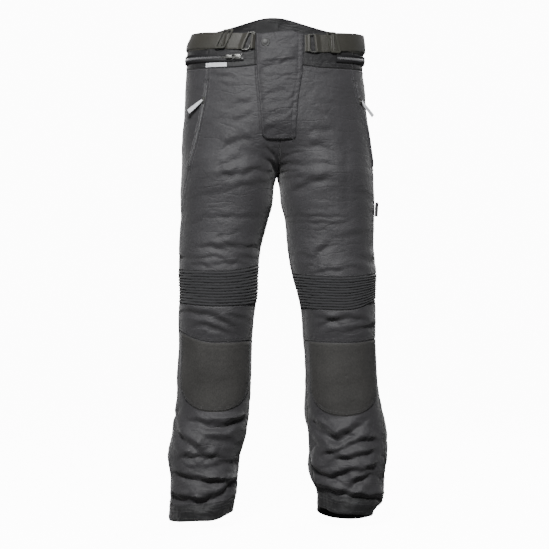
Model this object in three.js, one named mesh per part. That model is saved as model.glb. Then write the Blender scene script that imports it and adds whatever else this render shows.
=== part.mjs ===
// Motorcycle trousers, filled out and hollow, in millimetres. +Z is up and the front faces -Y.
// The origin is the middle of the waist, where the wearer holds the garment up.
// Side -1 is the wearer's right leg and side +1 the wearer's left.
import * as THREE from "three";
import { mergeVertices } from "three/addons/utils/BufferGeometryUtils.js";

// Driving dimensions
const WALL = 2; // thickness of a cloth panel
const HALF_SEAM = 0.15; // each panel stops this far from its seam
const LIFT = 0.5; // from a panel to what lies on it
const STRAP_LIFT = 1.2; // webbing and zip tape stand this far off the waistband
const OVERLAY = 1.6; // thickness of a piece that lies on a panel
const TAPE = 1.2; // thickness of zip tape
const SEATED = 0.35; // from a stiff piece to what it is seated on
const HALF_GIRTH = 560; // round the hips from the middle of the front to the middle of the back
const LOOP_Z = -335; // the small loop in the left side seam
const CROTCH_Z = -260;
const RISE = 115; // height over which two legs become one pair of hips
const WAISTBAND = 68;
const HIP_SQUARENESS = 2.3;
const LEG_SQUARENESS = 2.25;
const RIB_COUNT = 12;
const RIB_HEIGHT = 2.6;
const STRAP_WIDTH = 36;

// The hips, section by section: half widths to each side, and how far front and back reach
const HIPS = [
  { z: 95, right: 170, left: 174, front: -98, back: 112 },
  { z: 30, right: 177, left: 180, front: -103, back: 118 },
  { z: 5, right: 187, left: 183, front: -106, back: 122 },
  { z: -40, right: 190, left: 181, front: -109, back: 127 },
  { z: -90, right: 193, left: 185, front: -113, back: 136 },
  { z: -150, right: 196, left: 192, front: -116, back: 142 },
  { z: -210, right: 199.5, left: 199.5, front: -115, back: 138 },
  { z: -275, right: 201, left: 203, front: -110, back: 126 },
];

// Each leg, section by section: inner and outer are distances from the middle plane
const LEGS = {
  right: [
    { z: -140, inner: 0, outer: 197, front: -114, back: 138 },
    { z: -260, inner: 0, outer: 201, front: -111, back: 126 },
    { z: -290, inner: 7, outer: 202.5, front: -108, back: 118 },
    { z: -325, inner: 10, outer: 203, front: -105, back: 110 },
    { z: -357, inner: 19, outer: 202, front: -102, back: 102 },
    { z: -420, inner: 35, outer: 206, front: -99, back: 90 },
    { z: -470, inner: 41, outer: 207, front: -102, back: 80 },
    { z: -510, inner: 42, outer: 204, front: -103, back: 75 },
    { z: -560, inner: 49, outer: 207, front: -99, back: 74 },
    { z: -620, inner: 53, outer: 207, front: -90, back: 79 },
    { z: -690, inner: 54, outer: 210, front: -83, back: 84 },
    { z: -755, inner: 58, outer: 212, front: -80, back: 87 },
    { z: -800, inner: 64, outer: 222, front: -84, back: 88 },
    { z: -845, inner: 76, outer: 228, front: -84, back: 88 },
    { z: -885, inner: 81, outer: 224, front: -82, back: 87 },
    { z: -925, inner: 85, outer: 226, front: -83, back: 87 },
    { z: -1010, inner: 98, outer: 223, front: -80, back: 88 },
  ],
  left: [
    { z: -140, inner: 0, outer: 191, front: -114, back: 138 },
    { z: -260, inner: 0, outer: 203, front: -111, back: 126 },
    { z: -290, inner: 6, outer: 204, front: -108, back: 118 },
    { z: -325, inner: 9, outer: 206, front: -105, back: 110 },
    { z: -357, inner: 17, outer: 204, front: -102, back: 102 },
    { z: -420, inner: 22, outer: 202, front: -99, back: 90 },
    { z: -465, inner: 30, outer: 207, front: -102, back: 80 },
    { z: -510, inner: 41, outer: 205, front: -103, back: 75 },
    { z: -560, inner: 51, outer: 205, front: -99, back: 74 },
    { z: -620, inner: 56, outer: 207, front: -90, back: 79 },
    { z: -690, inner: 59, outer: 211, front: -83, back: 84 },
    { z: -755, inner: 61, outer: 223, front: -80, back: 90 },
    { z: -800, inner: 63, outer: 231, front: -84, back: 92 },
    { z: -845, inner: 66, outer: 233, front: -84, back: 92 },
    { z: -885, inner: 72, outer: 231, front: -82, back: 90 },
    { z: -925, inner: 82, outer: 226, front: -83, back: 88 },
    { z: -948, inner: 83, outer: 221, front: -82, back: 88 },
    { z: -968, inner: 84, outer: 203, front: -81, back: 88 },
    { z: -1010, inner: 86, outer: 196, front: -80, back: 88 },
  ],
};

// Where each side seam runs, as a share of the way round from inner front to inner back
const SIDE_SEAM = [
  { z: 95, right: 0.352, left: 0.37 },
  { z: -70, right: 0.345, left: 0.376 },
  { z: -150, right: 0.362, left: 0.413 },
  { z: -245, right: 0.406, left: 0.452 },
  { z: -340, right: 0.456, left: 0.47 },
  { z: -450, right: 0.478, left: 0.48 },
  { z: -560, right: 0.482, left: 0.482 },
  { z: -680, right: 0.475, left: 0.468 },
  { z: -740, right: 0.468, left: 0.446 },
  { z: -800, right: 0.457, left: 0.415 },
  { z: -870, right: 0.448, left: 0.408 },
  { z: -925, right: 0.443, left: 0.43 },
  { z: -1010, right: 0.44, left: 0.432 },
];

// Where the inside leg seam runs, a little to the front below the crotch
const INSEAM = [
  { z: 95, share: 0 },
  { z: -262, share: 0 },
  { z: -420, share: 0.02 },
  { z: -560, share: 0.03 },
  { z: -1010, share: 0.035 },
];

// The largest folds, each a soft trough along a line seen from the front (or from behind)
// x1, z1, x2, z2 are its ends, deep and wide its size, and ridge the roll of cloth above it
const FOLDS = [
  { behind: false, x1: -95, z1: -120, x2: -48, z2: -107, deep: 3, wide: 12, ridge: 2 },
  { behind: false, x1: -112, z1: -207, x2: -45, z2: -186, deep: 3.5, wide: 13, ridge: 2.5 },
  { behind: false, x1: -126, z1: -246, x2: -80, z2: -228, deep: 3, wide: 12, ridge: 2 },
  { behind: false, x1: -119, z1: -265, x2: -38, z2: -254, deep: 4.5, wide: 13, ridge: 3 },
  { behind: false, x1: -149, z1: -350, x2: -38, z2: -352, deep: 2.5, wide: 12, ridge: 1.5 },
  { behind: false, x1: -164, z1: -416, x2: -97, z2: -424, deep: 4.5, wide: 12, ridge: 3 },
  { behind: false, x1: -115, z1: -409, x2: -44, z2: -416, deep: 4, wide: 12, ridge: 3 },
  { behind: false, x1: 48, z1: -174, x2: 125, z2: -167, deep: 3, wide: 12, ridge: 2 },
  { behind: false, x1: 22, z1: -208, x2: 125, z2: -212, deep: 3.5, wide: 13, ridge: 2.5 },
  { behind: false, x1: 16, z1: -240, x2: 117, z2: -238, deep: 3, wide: 12, ridge: 2 },
  { behind: false, x1: 42, z1: -294, x2: 112, z2: -271, deep: 5, wide: 13, ridge: 3.5 },
  { behind: false, x1: 22, z1: -352, x2: 145, z2: -362, deep: 2.5, wide: 12, ridge: 1.5 },
  { behind: false, x1: 80, z1: -449, x2: 112, z2: -405, deep: 4, wide: 13, ridge: 2 },
  { behind: false, x1: -190, z1: -762, x2: -134, z2: -772, deep: 3, wide: 11, ridge: 3 },
  { behind: false, x1: -190, z1: -776, x2: -69, z2: -780, deep: 4.5, wide: 13, ridge: 3.5 },
  { behind: false, x1: -208, z1: -811, x2: -163, z2: -840, deep: 4.5, wide: 12, ridge: 3.5 },
  { behind: false, x1: -199, z1: -858, x2: -122, z2: -858, deep: 3, wide: 12, ridge: 2.5 },
  { behind: false, x1: -180, z1: -900, x2: -87, z2: -911, deep: 4.5, wide: 12, ridge: 3.5 },
  { behind: false, x1: -222, z1: -940, x2: -128, z2: -938, deep: 5.5, wide: 13, ridge: 4 },
  { behind: false, x1: 80, z1: -785, x2: 135, z2: -817, deep: 4.5, wide: 13, ridge: 3.5 },
  { behind: false, x1: 135, z1: -817, x2: 185, z2: -789, deep: 4.5, wide: 13, ridge: 3.5 },
  { behind: false, x1: 153, z1: -832, x2: 212, z2: -823, deep: 4.5, wide: 12, ridge: 3.5 },
  { behind: false, x1: 130, z1: -863, x2: 203, z2: -849, deep: 4.5, wide: 12, ridge: 3.5 },
  { behind: false, x1: 78, z1: -879, x2: 124, z2: -905, deep: 4, wide: 12, ridge: 3 },
  { behind: false, x1: 115, z1: -905, x2: 174, z2: -884, deep: 4.5, wide: 12, ridge: 3.5 },
  { behind: true, x1: -165, z1: -232, x2: -40, z2: -262, deep: 5, wide: 15, ridge: 3 },
  { behind: true, x1: 40, z1: -258, x2: 168, z2: -238, deep: 5, wide: 15, ridge: 3 },
  { behind: true, x1: -150, z1: -330, x2: -50, z2: -348, deep: 3.5, wide: 14, ridge: 2 },
  { behind: true, x1: 45, z1: -340, x2: 150, z2: -322, deep: 3.5, wide: 14, ridge: 2 },
  { behind: true, x1: -185, z1: -470, x2: -60, z2: -482, deep: 5, wide: 14, ridge: 3.5 },
  { behind: true, x1: 55, z1: -476, x2: 185, z2: -466, deep: 5, wide: 14, ridge: 3.5 },
  { behind: true, x1: -180, z1: -545, x2: -75, z2: -532, deep: 5, wide: 14, ridge: 3.5 },
  { behind: true, x1: 72, z1: -536, x2: 180, z2: -550, deep: 5, wide: 14, ridge: 3.5 },
  { behind: true, x1: -200, z1: -820, x2: -90, z2: -838, deep: 4.5, wide: 13, ridge: 3.5 },
  { behind: true, x1: 88, z1: -832, x2: 205, z2: -815, deep: 4.5, wide: 13, ridge: 3.5 },
  { behind: true, x1: -195, z1: -905, x2: -105, z2: -922, deep: 4.5, wide: 13, ridge: 3.5 },
  { behind: true, x1: 98, z1: -918, x2: 205, z2: -900, deep: 4.5, wide: 13, ridge: 3.5 },
];

const OUTLINES = {
  right: {
    kneeTop: [-463, -466, -453],
    kneeBottom: [-530, -537, -531],
    bandBottom: [-589, -612, -609],
    hem: [-985, -980, -966],
  },
  left: {
    kneeTop: [-470, -478, -472],
    kneeBottom: [-522, -545, -541],
    bandBottom: [-606, -613, -610],
    hem: [-974, -968, -958],
  },
};
// The shin shields: the ends of their straight sides and the bottom of their round end
const SHIELDS = {
  right: { sides: -690, bottom: -755 },
  left: { sides: -700, bottom: -765 },
};
const HEM_DROP = { right: 6, left: 28 }; // how far a hem falls towards the back
const SHIELD_INSET = 1; // from the seam above a shield to its top edge
const CUFF = 34;
const BACK_KNEE_Z = -505;
const FRONT_COLUMNS = 9; // columns of facets across a front piece and across a back one
const BACK_COLUMNS = 10;
const LEAST_GIRTH = 250; // a leg's girth that keeps every seam gap at least as wide as named
const CROTCH_CROWDING = 1.4; // rows of facets crowd towards the crotch by this power

// The fly flap, by the x of its free edge and of its stitched edge
const FLY_EDGES = [
  { z: 30, free: -50, sewn: 48 },
  { z: -55, free: -48.5, sewn: 45 },
  { z: -105, free: -44.5, sewn: 37 },
  { z: -192, free: -38.5, sewn: 31 },
];
const FLY_CORNER = 14;
const FLY_THICK = 2.4;
const FLY_PEAK = 6; // how far its top rises near its sewn edge

// The waist adjusters: z is the middle of the webbing at its ring and at the side seam
const ADJUSTERS = [
  { side: -1, ringZ: 8, sideZ: 13, width: 33, sliderX: -114, sliderZ: 13, sliderLean: -24, ringLean: -20 },
  { side: 1, ringZ: 4, sideZ: 11, width: STRAP_WIDTH, sliderX: 109, sliderZ: 7, sliderLean: 12, ringLean: 8 },
];
const RING_X = 66;
const RING_WIDE = 17;
const RING_HIGH = 39;
const BAR = 3.2;
const STRAP_SLIDER_WIDE = 20;
const STRAP_SLIDER_RIM = 4;
const STRAP_SLIDER_BAR = 3;
const STRAP_END_SHARE = 0.53;
const TAB_END_X = 61;
const TAB_START_X = { right: 52.5, left: 50.5 };

// Sliders and their pulls: a pull turns at its own middle plane, just clear of its slider
const SLIDER_THICK = 3;
const PULL_THICK = 1.4;
const HINGE_HEIGHT = SLIDER_THICK + 0.7 + PULL_THICK / 2;
const WAIST_PULL_LONG = 22;
const PULL_PAST_HINGE = 1; // the short end of the waist pull, which clears its slider as it turns

// The waist zip: its tape runs round the back, a fixed height above the waist seam
const ZIP = { startShare: 0.19, endShare: 0.285, above: 13, high: 17, sliderX: -88 };

// The side pockets: a zip welt over the side seam, a slider and its reflective pull
const POCKET = { top: -72, bottom: -248, wide: 11, sliderZ: -112 };
const POCKET_PULLS = [
  { side: -1, x: -0.7, y: 0.42, z: -0.575 },
  { side: 1, x: 0.61, y: 0.238, z: -0.756 },
];
const PULL_LONG = 40;
const PULL_WIDE = 9;

const COLOURS = {
  shell: 0x4c4d50,
  shield: 0x504e4c,
  stretch: 0x3b3c3e,
  webbing: 0x34342f,
  metal: 0x8c8c86,
  reflective: 0xd9dadb,
  dark: 0x1b1b1d,
};

const sideName = (side) => (side < 0 ? "right" : "left");
const mix = (a, b, share) => a + (b - a) * share;
const clamp = (value, low, high) => Math.min(high, Math.max(low, value));
const smooth = (share) => share * share * (3 - 2 * share);
const power = (value, exponent) => Math.sign(value) * Math.abs(value) ** exponent;

// One column of a table at height z, on a smooth curve through its rows
function at(rows, column, z) {
  const last = rows.length - 1;
  if (z >= rows[0].z) return rows[0][column];
  if (z <= rows[last].z) return rows[last][column];
  const i = rows.findIndex((row) => row.z < z) - 1;
  const slope = (k) => {
    const a = rows[Math.max(0, k - 1)];
    const b = rows[Math.min(last, k + 1)];
    return (b[column] - a[column]) / (b.z - a.z);
  };
  const step = rows[i + 1].z - rows[i].z;
  const s = (z - rows[i].z) / step;
  const h = smooth(s);
  return (
    rows[i][column] * (1 - h) +
    rows[i + 1][column] * h +
    slope(i) * step * s * (1 - s) ** 2 -
    slope(i + 1) * step * s * s * (1 - s)
  );
}

// The hips at height z: share 0 is the middle of the front and share 1 the middle of the back
function hipPoint(side, share, z) {
  const angle = Math.PI * share - (Math.PI / 12) * Math.sin(2 * Math.PI * share);
  const reach = Math.cos(angle) > 0 ? -at(HIPS, "front", z) : at(HIPS, "back", z);
  return new THREE.Vector3(
    side * at(HIPS, sideName(side), z) * power(Math.sin(angle), 2 / HIP_SQUARENESS),
    -reach * power(Math.cos(angle), 2 / HIP_SQUARENESS),
    z,
  );
}

// A leg at height z: share 0 is its inner side, 0.25 its front and 0.5 its outer side
function legPoint(side, share, z) {
  const rows = LEGS[sideName(side)];
  const inner = at(rows, "inner", z);
  const outer = at(rows, "outer", z);
  const front = at(rows, "front", z);
  const back = at(rows, "back", z);
  const angle = 2 * Math.PI * share;
  const across = power(Math.cos(angle), 2 / LEG_SQUARENESS);
  const deep = power(Math.sin(angle), 2 / LEG_SQUARENESS);
  return new THREE.Vector3(
    side * ((inner + outer) / 2 - (across * (outer - inner)) / 2),
    (front + back) / 2 - (deep * (back - front)) / 2,
    z,
  );
}

// The trousers' form with no folds: the two legs grow into the hips above the crotch
function formPoint(side, share, z) {
  if (z <= CROTCH_Z) return legPoint(side, share, z);
  const hips = hipPoint(side, share, z);
  if (z >= CROTCH_Z + RISE) return hips;
  const climbed = (z - CROTCH_Z) / RISE;
  const wrapped = share - Math.floor(share);
  const late = 0.5 + 1.1 * Math.sin(Math.PI * wrapped);
  const weight = (1 - (1 - climbed) ** 2) ** late;
  return legPoint(side, share, z).lerp(hips, weight);
}

function formNormal(side, share, z) {
  const across = formPoint(side, share + 0.006, z).sub(formPoint(side, share - 0.006, z));
  const up = formPoint(side, share, z + 3).sub(formPoint(side, share, z - 3));
  return across.cross(up).multiplyScalar(side).normalize();
}

// How far folds push the cloth in or out at a point of the form
function foldHeight(point, behind) {
  let height = 0;
  for (const fold of FOLDS) {
    if (fold.behind !== behind) continue;
    const alongX = fold.x2 - fold.x1;
    const alongZ = fold.z2 - fold.z1;
    const length = Math.hypot(alongX, alongZ);
    const fromX = point.x - fold.x1;
    const fromZ = point.z - fold.z1;
    const along = (fromX * alongX + fromZ * alongZ) / length / length;
    const off = (fromZ * alongX - fromX * alongZ) / length;
    const past = Math.max(0, -along, along - 1) * length;
    const fade = Math.exp(-((past / (1.6 * fold.wide)) ** 2));
    const trough = Math.exp(-((off / fold.wide) ** 2));
    const roll = Math.exp(-(((off - 1.9 * fold.wide) / fold.wide) ** 2));
    height += fade * (fold.ridge * roll - fold.deep * trough);
  }
  return height;
}

// A point of the outer face with its folds, moved out by lift
function clothPoint(side, share, z, lift = 0) {
  const point = formPoint(side, share, z);
  const [inner, outer] = [at(INSEAM, "share", z), at(SIDE_SEAM, sideName(side), z)];
  const behind = share > outer;
  const seams = [inner, outer, 1 + inner];
  const nearest = Math.min(...seams.map((seam) => Math.abs(share - seam)));
  const besideFly = clamp((Math.abs(point.x) - 52) / 16, 0, 1);
  const belowFly = clamp((-200 - z) / 16, 0, 1);
  const belowShield = behind || z > -600 ? 1 : clamp((SHIELDS[sideName(side)].bottom - z) / 12, 0, 1);
  const calm = smooth(clamp(nearest / 0.05, 0, 1)) * smooth(Math.max(besideFly, belowFly)) * belowShield;
  return point.addScaledVector(formNormal(side, share, z), calm * foldHeight(point, behind) + lift);
}

// A closed shell between an outer and an inner grid of points; outer and inner take (u, v) from 0 to 1
// and run so that u, v and outwards are right-handed where turned is false
function shell(columns, rows, outer, inner, turned = false) {
  const positions = [];
  const index = [];
  const wide = columns + 1;
  for (const face of [outer, inner]) {
    for (let row = 0; row <= rows; row++) {
      for (let column = 0; column <= columns; column++) {
        positions.push(...face(column / columns, row / rows).toArray());
      }
    }
  }
  const behind = wide * (rows + 1);
  const quad = (a, b, c, d) => {
    if (turned) index.push(a, c, b, a, d, c);
    else index.push(a, b, c, a, c, d);
  };
  for (let row = 0; row < rows; row++) {
    for (let column = 0; column < columns; column++) {
      const a = row * wide + column;
      quad(a, a + 1, a + 1 + wide, a + wide);
      quad(behind + a + wide, behind + a + 1 + wide, behind + a + 1, behind + a);
    }
  }
  for (let column = 0; column < columns; column++) {
    const top = rows * wide + column;
    quad(behind + column, behind + column + 1, column + 1, column);
    quad(top, top + 1, behind + top + 1, behind + top);
  }
  for (let row = 0; row < rows; row++) {
    const left = row * wide;
    const right = left + columns;
    quad(left, left + wide, behind + left + wide, behind + left);
    quad(behind + right, behind + right + wide, right + wide, right);
  }
  const geometry = new THREE.BufferGeometry();
  geometry.setAttribute("position", new THREE.Float32BufferAttribute(positions, 3));
  geometry.setIndex(index);
  return mergeVertices(geometry, 1e-3);
}

const materials = new Map();
function material(colour, roughness = 0.85, metalness = 0) {
  const key = [colour, roughness, metalness].join();
  if (!materials.has(key)) {
    materials.set(key, new THREE.MeshStandardMaterial({ color: colour, roughness, metalness }));
  }
  return materials.get(key);
}

const trousers = new THREE.Group();
function add(name, geometry, colour, roughness, metalness) {
  const mesh = new THREE.Mesh(geometry, material(colour, roughness, metalness));
  mesh.name = name;
  trousers.add(mesh);
  return mesh;
}

// A value that runs smoothly through three: at a panel's outer edge, middle and inner edge
const through = ([outer, middle, inner], u) => {
  const outwards = mix(middle, outer, smooth(clamp(1 - 2 * u, 0, 1)));
  return u < 0.5 ? outwards : mix(middle, inner, smooth(2 * u - 1));
};

// A panel between two heights and two seams; extra gives what it adds outside its wall
// crotchRow is the row of facets that lies level with the crotch, where the panel reaches past it
function panel(name, side, columns, rows, { from, to, low, high, extra = () => 0, crotchRow, colour }) {
  const heightAt = (u, v) => {
    const [bottom, top] = [low(u) + HALF_SEAM, high(u) - HALF_SEAM];
    if (!crotchRow) return mix(bottom, top, v);
    const row = v * rows;
    if (row <= crotchRow) return mix(bottom, CROTCH_Z, row / crotchRow);
    return mix(CROTCH_Z, top, ((row - crotchRow) / (rows - crotchRow)) ** CROTCH_CROWDING);
  };
  const spot = (u, v) => {
    const z = heightAt(u, v);
    const first = from(z);
    const last = to(z);
    const gap = HALF_SEAM / LEAST_GIRTH;
    return { share: mix(first + gap, last - gap, u), z };
  };
  const outer = (u, v) => {
    const { share, z } = spot(u, v);
    return parted(side, clothPoint(side, share, z, extra(u, v, share, z)));
  };
  const inner = (u, v) => {
    const { share, z } = spot(u, v);
    return parted(side, clothPoint(side, share, z, -WALL));
  };
  add(name, shell(columns, rows, outer, inner, side < 0), colour);
}

// Keeps the two halves clear of each other at the middle seam
function parted(side, point) {
  if (side * point.x < HALF_SEAM) point.x = side * HALF_SEAM;
  return point;
}

const inseam = (z) => Math.max(0, at(INSEAM, "share", z));
const sideSeam = (side) => (z) => at(SIDE_SEAM, sideName(side), z);
const backInseam = (z) => 1 + inseam(z);

// The waist's top edge and the seam below the waistband, by the share round from front to back
function waistTop(share) {
  const front = mix(25, 31, smooth(clamp(share / 0.5, 0, 1)));
  return share < 0.5 ? front : mix(31, 80, smooth(clamp(2 * share - 1, 0, 1)));
}
function waistSeam(share) {
  const front = mix(-36, -46, smooth(clamp(share / 0.25, 0, 1)));
  return share < 0.5 ? front : mix(-46, 80 - WAISTBAND, smooth(clamp(2 * share - 1, 0, 1)));
}

// The height of a hem round the leg, from its front outline and its drop to the back
function hemHeight(side, share) {
  const outline = OUTLINES[sideName(side)].hem;
  const acrossFront = clamp((share - 0.035) / 0.405, 0, 1);
  const front = through(outline, 1 - acrossFront);
  if (share <= 0.44) return front;
  const round = (share - 0.44) / 0.595;
  return mix(outline[0], outline[2], round) - HEM_DROP[sideName(side)] * Math.sin(Math.PI * round);
}

// A panel's share at a height that depends on the share itself, near enough after one step
const shareAcross = (from, to, z, u) => mix(from(z), to(z), u);

function legPanels(side) {
  const tag = side < 0 ? "R" : "L";
  const lines = OUTLINES[sideName(side)];
  const line = (name) => (u) => through(lines[name], 1 - u);
  const seam = sideSeam(side);
  const front = { from: inseam, to: seam };
  const back = { from: seam, to: backInseam };
  panel(`front_thigh_${tag}`, side, FRONT_COLUMNS, 21, {
    ...front,
    low: line("kneeTop"),
    crotchRow: 10,
    high: (u) => waistSeam(shareAcross(inseam, seam, -40, u)),
    colour: COLOURS.shell,
  });
  const rib = (u, v) => (Math.round(v * 2 * RIB_COUNT) % 2 ? RIB_HEIGHT : 0);
  panel(`stretch_knee_${tag}`, side, FRONT_COLUMNS, 2 * RIB_COUNT, {
    ...front,
    low: line("kneeBottom"),
    high: line("kneeTop"),
    extra: rib,
    colour: COLOURS.stretch,
  });
  panel(`knee_band_${tag}`, side, FRONT_COLUMNS, 3, {
    ...front,
    low: line("bandBottom"),
    high: line("kneeBottom"),
    colour: COLOURS.shell,
  });
  panel(`shin_front_${tag}`, side, FRONT_COLUMNS, 19, {
    ...front,
    low: (u) => hemHeight(side, shareAcross(inseam, seam, -940, u)) + CUFF,
    high: line("bandBottom"),
    colour: COLOURS.shell,
  });
  panel(`seat_back_${tag}`, side, BACK_COLUMNS, 18, {
    ...back,
    low: () => BACK_KNEE_Z,
    crotchRow: 9,
    high: (u) => waistSeam(shareAcross(seam, backInseam, 0, u)),
    colour: COLOURS.shell,
  });
  panel(`back_calf_${tag}`, side, BACK_COLUMNS, 14, {
    ...back,
    low: (u) => hemHeight(side, shareAcross(seam, backInseam, -940, u)) + CUFF,
    high: () => BACK_KNEE_Z,
    colour: COLOURS.shell,
  });
}

// The shin shield lies on the shin front, one column of facets in from each of its sides
function shinShield(side) {
  const tag = side < 0 ? "R" : "L";
  const { sides, bottom } = SHIELDS[sideName(side)];
  const columns = FRONT_COLUMNS - 2;
  const seam = sideSeam(side);
  const spot = (u, v) => {
    const column = (1 + u * columns) / FRONT_COLUMNS;
    const top = through(OUTLINES[sideName(side)].bandBottom, 1 - column) - SHIELD_INSET;
    const low = sides - (sides - bottom) * Math.sqrt(1 - (2 * u - 1) ** 2);
    const z = mix(low, top, v);
    return { side, share: mix(inseam(z), seam(z), column), z };
  };
  layer(`shin_shield_${tag}`, columns, 8, spot, { colour: COLOURS.shield, turned: side < 0 });
}

// A hem cuff is a closed ring, with its columns where the panels above it have theirs
function hemCuff(side) {
  const tag = side < 0 ? "R" : "L";
  const columns = FRONT_COLUMNS + BACK_COLUMNS;
  const seam = sideSeam(side);
  const shareOf = (u) => {
    const column = Math.round(u * columns);
    const z = hemHeight(side, 0.25);
    if (column <= FRONT_COLUMNS) return mix(inseam(z), seam(z), column / FRONT_COLUMNS);
    return mix(seam(z), backInseam(z), (column - FRONT_COLUMNS) / BACK_COLUMNS);
  };
  const ring = (lift) => (u, v) => {
    const share = shareOf(u);
    const low = hemHeight(side, share);
    const z = mix(low, low + CUFF - HALF_SEAM, v);
    return clothPoint(side, share, z, lift);
  };
  add(`hem_cuff_${tag}`, tube(columns, 2, ring(0), ring(-WALL), side < 0), COLOURS.shell);
}

// Like shell, but its first and last columns are the same points
function tube(columns, rows, outer, inner, turned) {
  const positions = [];
  const index = [];
  for (const face of [outer, inner]) {
    for (let row = 0; row <= rows; row++) {
      for (let column = 0; column < columns; column++) {
        positions.push(...face(column / columns, row / rows).toArray());
      }
    }
  }
  const behind = columns * (rows + 1);
  const quad = (a, b, c, d) => {
    if (turned) index.push(a, c, b, a, d, c);
    else index.push(a, b, c, a, c, d);
  };
  for (let column = 0; column < columns; column++) {
    const next = (column + 1) % columns;
    for (let row = 0; row < rows; row++) {
      const low = row * columns;
      const high = low + columns;
      quad(low + column, low + next, high + next, high + column);
      quad(behind + high + column, behind + high + next, behind + low + next, behind + low + column);
    }
    const top = rows * columns;
    quad(behind + column, behind + next, next, column);
    quad(top + column, top + next, behind + top + next, behind + top + column);
  }
  const geometry = new THREE.BufferGeometry();
  geometry.setAttribute("position", new THREE.Float32BufferAttribute(positions, 3));
  geometry.setIndex(index);
  return geometry;
}

// The share at which the front (or the back) of the form stands at a given x
function shareAtX(x, z, behind = false) {
  const side = x < 0 ? -1 : 1;
  let [low, high] = behind ? [1, 0.55] : [0, 0.45];
  for (let i = 0; i < 40; i++) {
    const middle = (low + high) / 2;
    if (side * formPoint(side, middle, z).x < Math.abs(x)) low = middle;
    else high = middle;
  }
  return { side, share: (low + high) / 2, z };
}

// A piece that lies on the cloth, from lift to lift + thick; spot gives side, share and z for (u, v)
function layer(name, columns, rows, spot, { lift = LIFT, thick = OVERLAY, colour, turned = false }) {
  const face = (height) => (u, v) => {
    const { side, share, z } = spot(u, v);
    return clothPoint(side, share, z, height);
  };
  add(name, shell(columns, rows, face(lift + thick), face(lift), turned), colour);
}

// The place and the directions of a small stiff piece seated on the cloth
function seat(side, share, z, lift) {
  const out = formNormal(side, share, z);
  const across = new THREE.Vector3(0, 0, 1).cross(out).normalize();
  const up = out.clone().cross(across);
  return { origin: clothPoint(side, share, z, lift), across, up, out };
}

// Sets a mesh in a seat
function place(mesh, { origin, across, up, out }) {
  mesh.matrix.makeBasis(across, up, out).setPosition(origin);
  mesh.matrix.decompose(mesh.position, mesh.quaternion, mesh.scale);
  return mesh;
}

// A flat piece with its upright edges slanted by a number of degrees and its height kept
function slanted(geometry, degrees) {
  const slope = -Math.tan(THREE.MathUtils.degToRad(degrees));
  return geometry.applyMatrix4(new THREE.Matrix4().makeShear(0, 0, slope, 0, 0, 0));
}

function roundedBox(wide, high, round) {
  const shape = new THREE.Shape();
  const [x, y] = [wide / 2, high / 2];
  shape.moveTo(-x + round, -y);
  shape.lineTo(x - round, -y);
  shape.absarc(x - round, -y + round, round, -Math.PI / 2, 0);
  shape.lineTo(x, y - round);
  shape.absarc(x - round, y - round, round, 0, Math.PI / 2);
  shape.lineTo(-x + round, y);
  shape.absarc(-x + round, y - round, round, Math.PI / 2, Math.PI);
  shape.lineTo(-x, -y + round);
  shape.absarc(-x + round, -y + round, round, Math.PI, 1.5 * Math.PI);
  return shape;
}

function plate(shape, thick) {
  const geometry = new THREE.ExtrudeGeometry(shape, { depth: thick, bevelEnabled: false, curveSegments: 3 });
  geometry.deleteAttribute("normal");
  geometry.deleteAttribute("uv");
  return mergeVertices(geometry, 1e-3);
}

function waistband() {
  for (const side of [-1, 1]) {
    const seam = sideSeam(side);
    panel(`waistband_front_${side < 0 ? "R" : "L"}`, side, FRONT_COLUMNS, 3, {
      from: inseam,
      to: seam,
      low: (u) => waistSeam(shareAcross(inseam, seam, -40, u)),
      high: (u) => waistTop(shareAcross(inseam, seam, 30, u)),
      colour: COLOURS.shell,
    });
  }
  const gap = HALF_SEAM / LEAST_GIRTH;
  const face = (lift) => (u, v) => {
    const side = u < 0.5 ? -1 : 1;
    const seam = sideSeam(side);
    const part = 1 - Math.abs(2 * u - 1);
    const low = waistSeam(shareAcross(seam, backInseam, 0, part)) + HALF_SEAM;
    const z = mix(low, waistTop(shareAcross(seam, backInseam, 30, part)), v);
    const share = mix(seam(z) + gap, 1, part);
    return formPoint(side, share, z).addScaledVector(formNormal(side, share, z), lift);
  };
  add("waistband_back", shell(2 * BACK_COLUMNS, 3, face(0), face(-WALL), true), COLOURS.shell);
}

function flyFlap() {
  const bottom = FLY_EDGES[FLY_EDGES.length - 1].z;
  layer(
    "fly_flap",
    8,
    13,
    (u, v) => {
      const peak = FLY_PEAK * smooth(clamp(u / 0.75, 0, 1)) * smooth(clamp((1 - u) / 0.25, 0, 1));
      const z = mix(bottom, waistTop(0) - 0.5 + peak, v ** 1.15);
      const intoCorner = clamp(1 - (z - bottom) / FLY_CORNER, 0, 1);
      const cut = FLY_CORNER * (1 - Math.sqrt(1 - intoCorner ** 2));
      return shareAtX(mix(at(FLY_EDGES, "free", z) + cut, at(FLY_EDGES, "sewn", z), u), z);
    },
    { thick: FLY_THICK, colour: COLOURS.shell },
  );
  const { side, share } = shareAtX(-31, 6);
  const profile = [
    [0, 0],
    [8.5, 0],
    [8.5, 1.6],
    [7.2, 2.6],
    [5.5, 2.1],
    [0, 2.1],
  ].map(([x, y]) => new THREE.Vector2(x, y));
  const snap = new THREE.LatheGeometry(profile, 20).rotateX(Math.PI / 2);
  snap.deleteAttribute("normal");
  snap.deleteAttribute("uv");
  const lift = LIFT + FLY_THICK + SEATED;
  place(add("snap_button", mergeVertices(snap, 1e-3), COLOURS.metal, 0.4, 0.9), seat(side, share, 6, lift));
}

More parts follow.
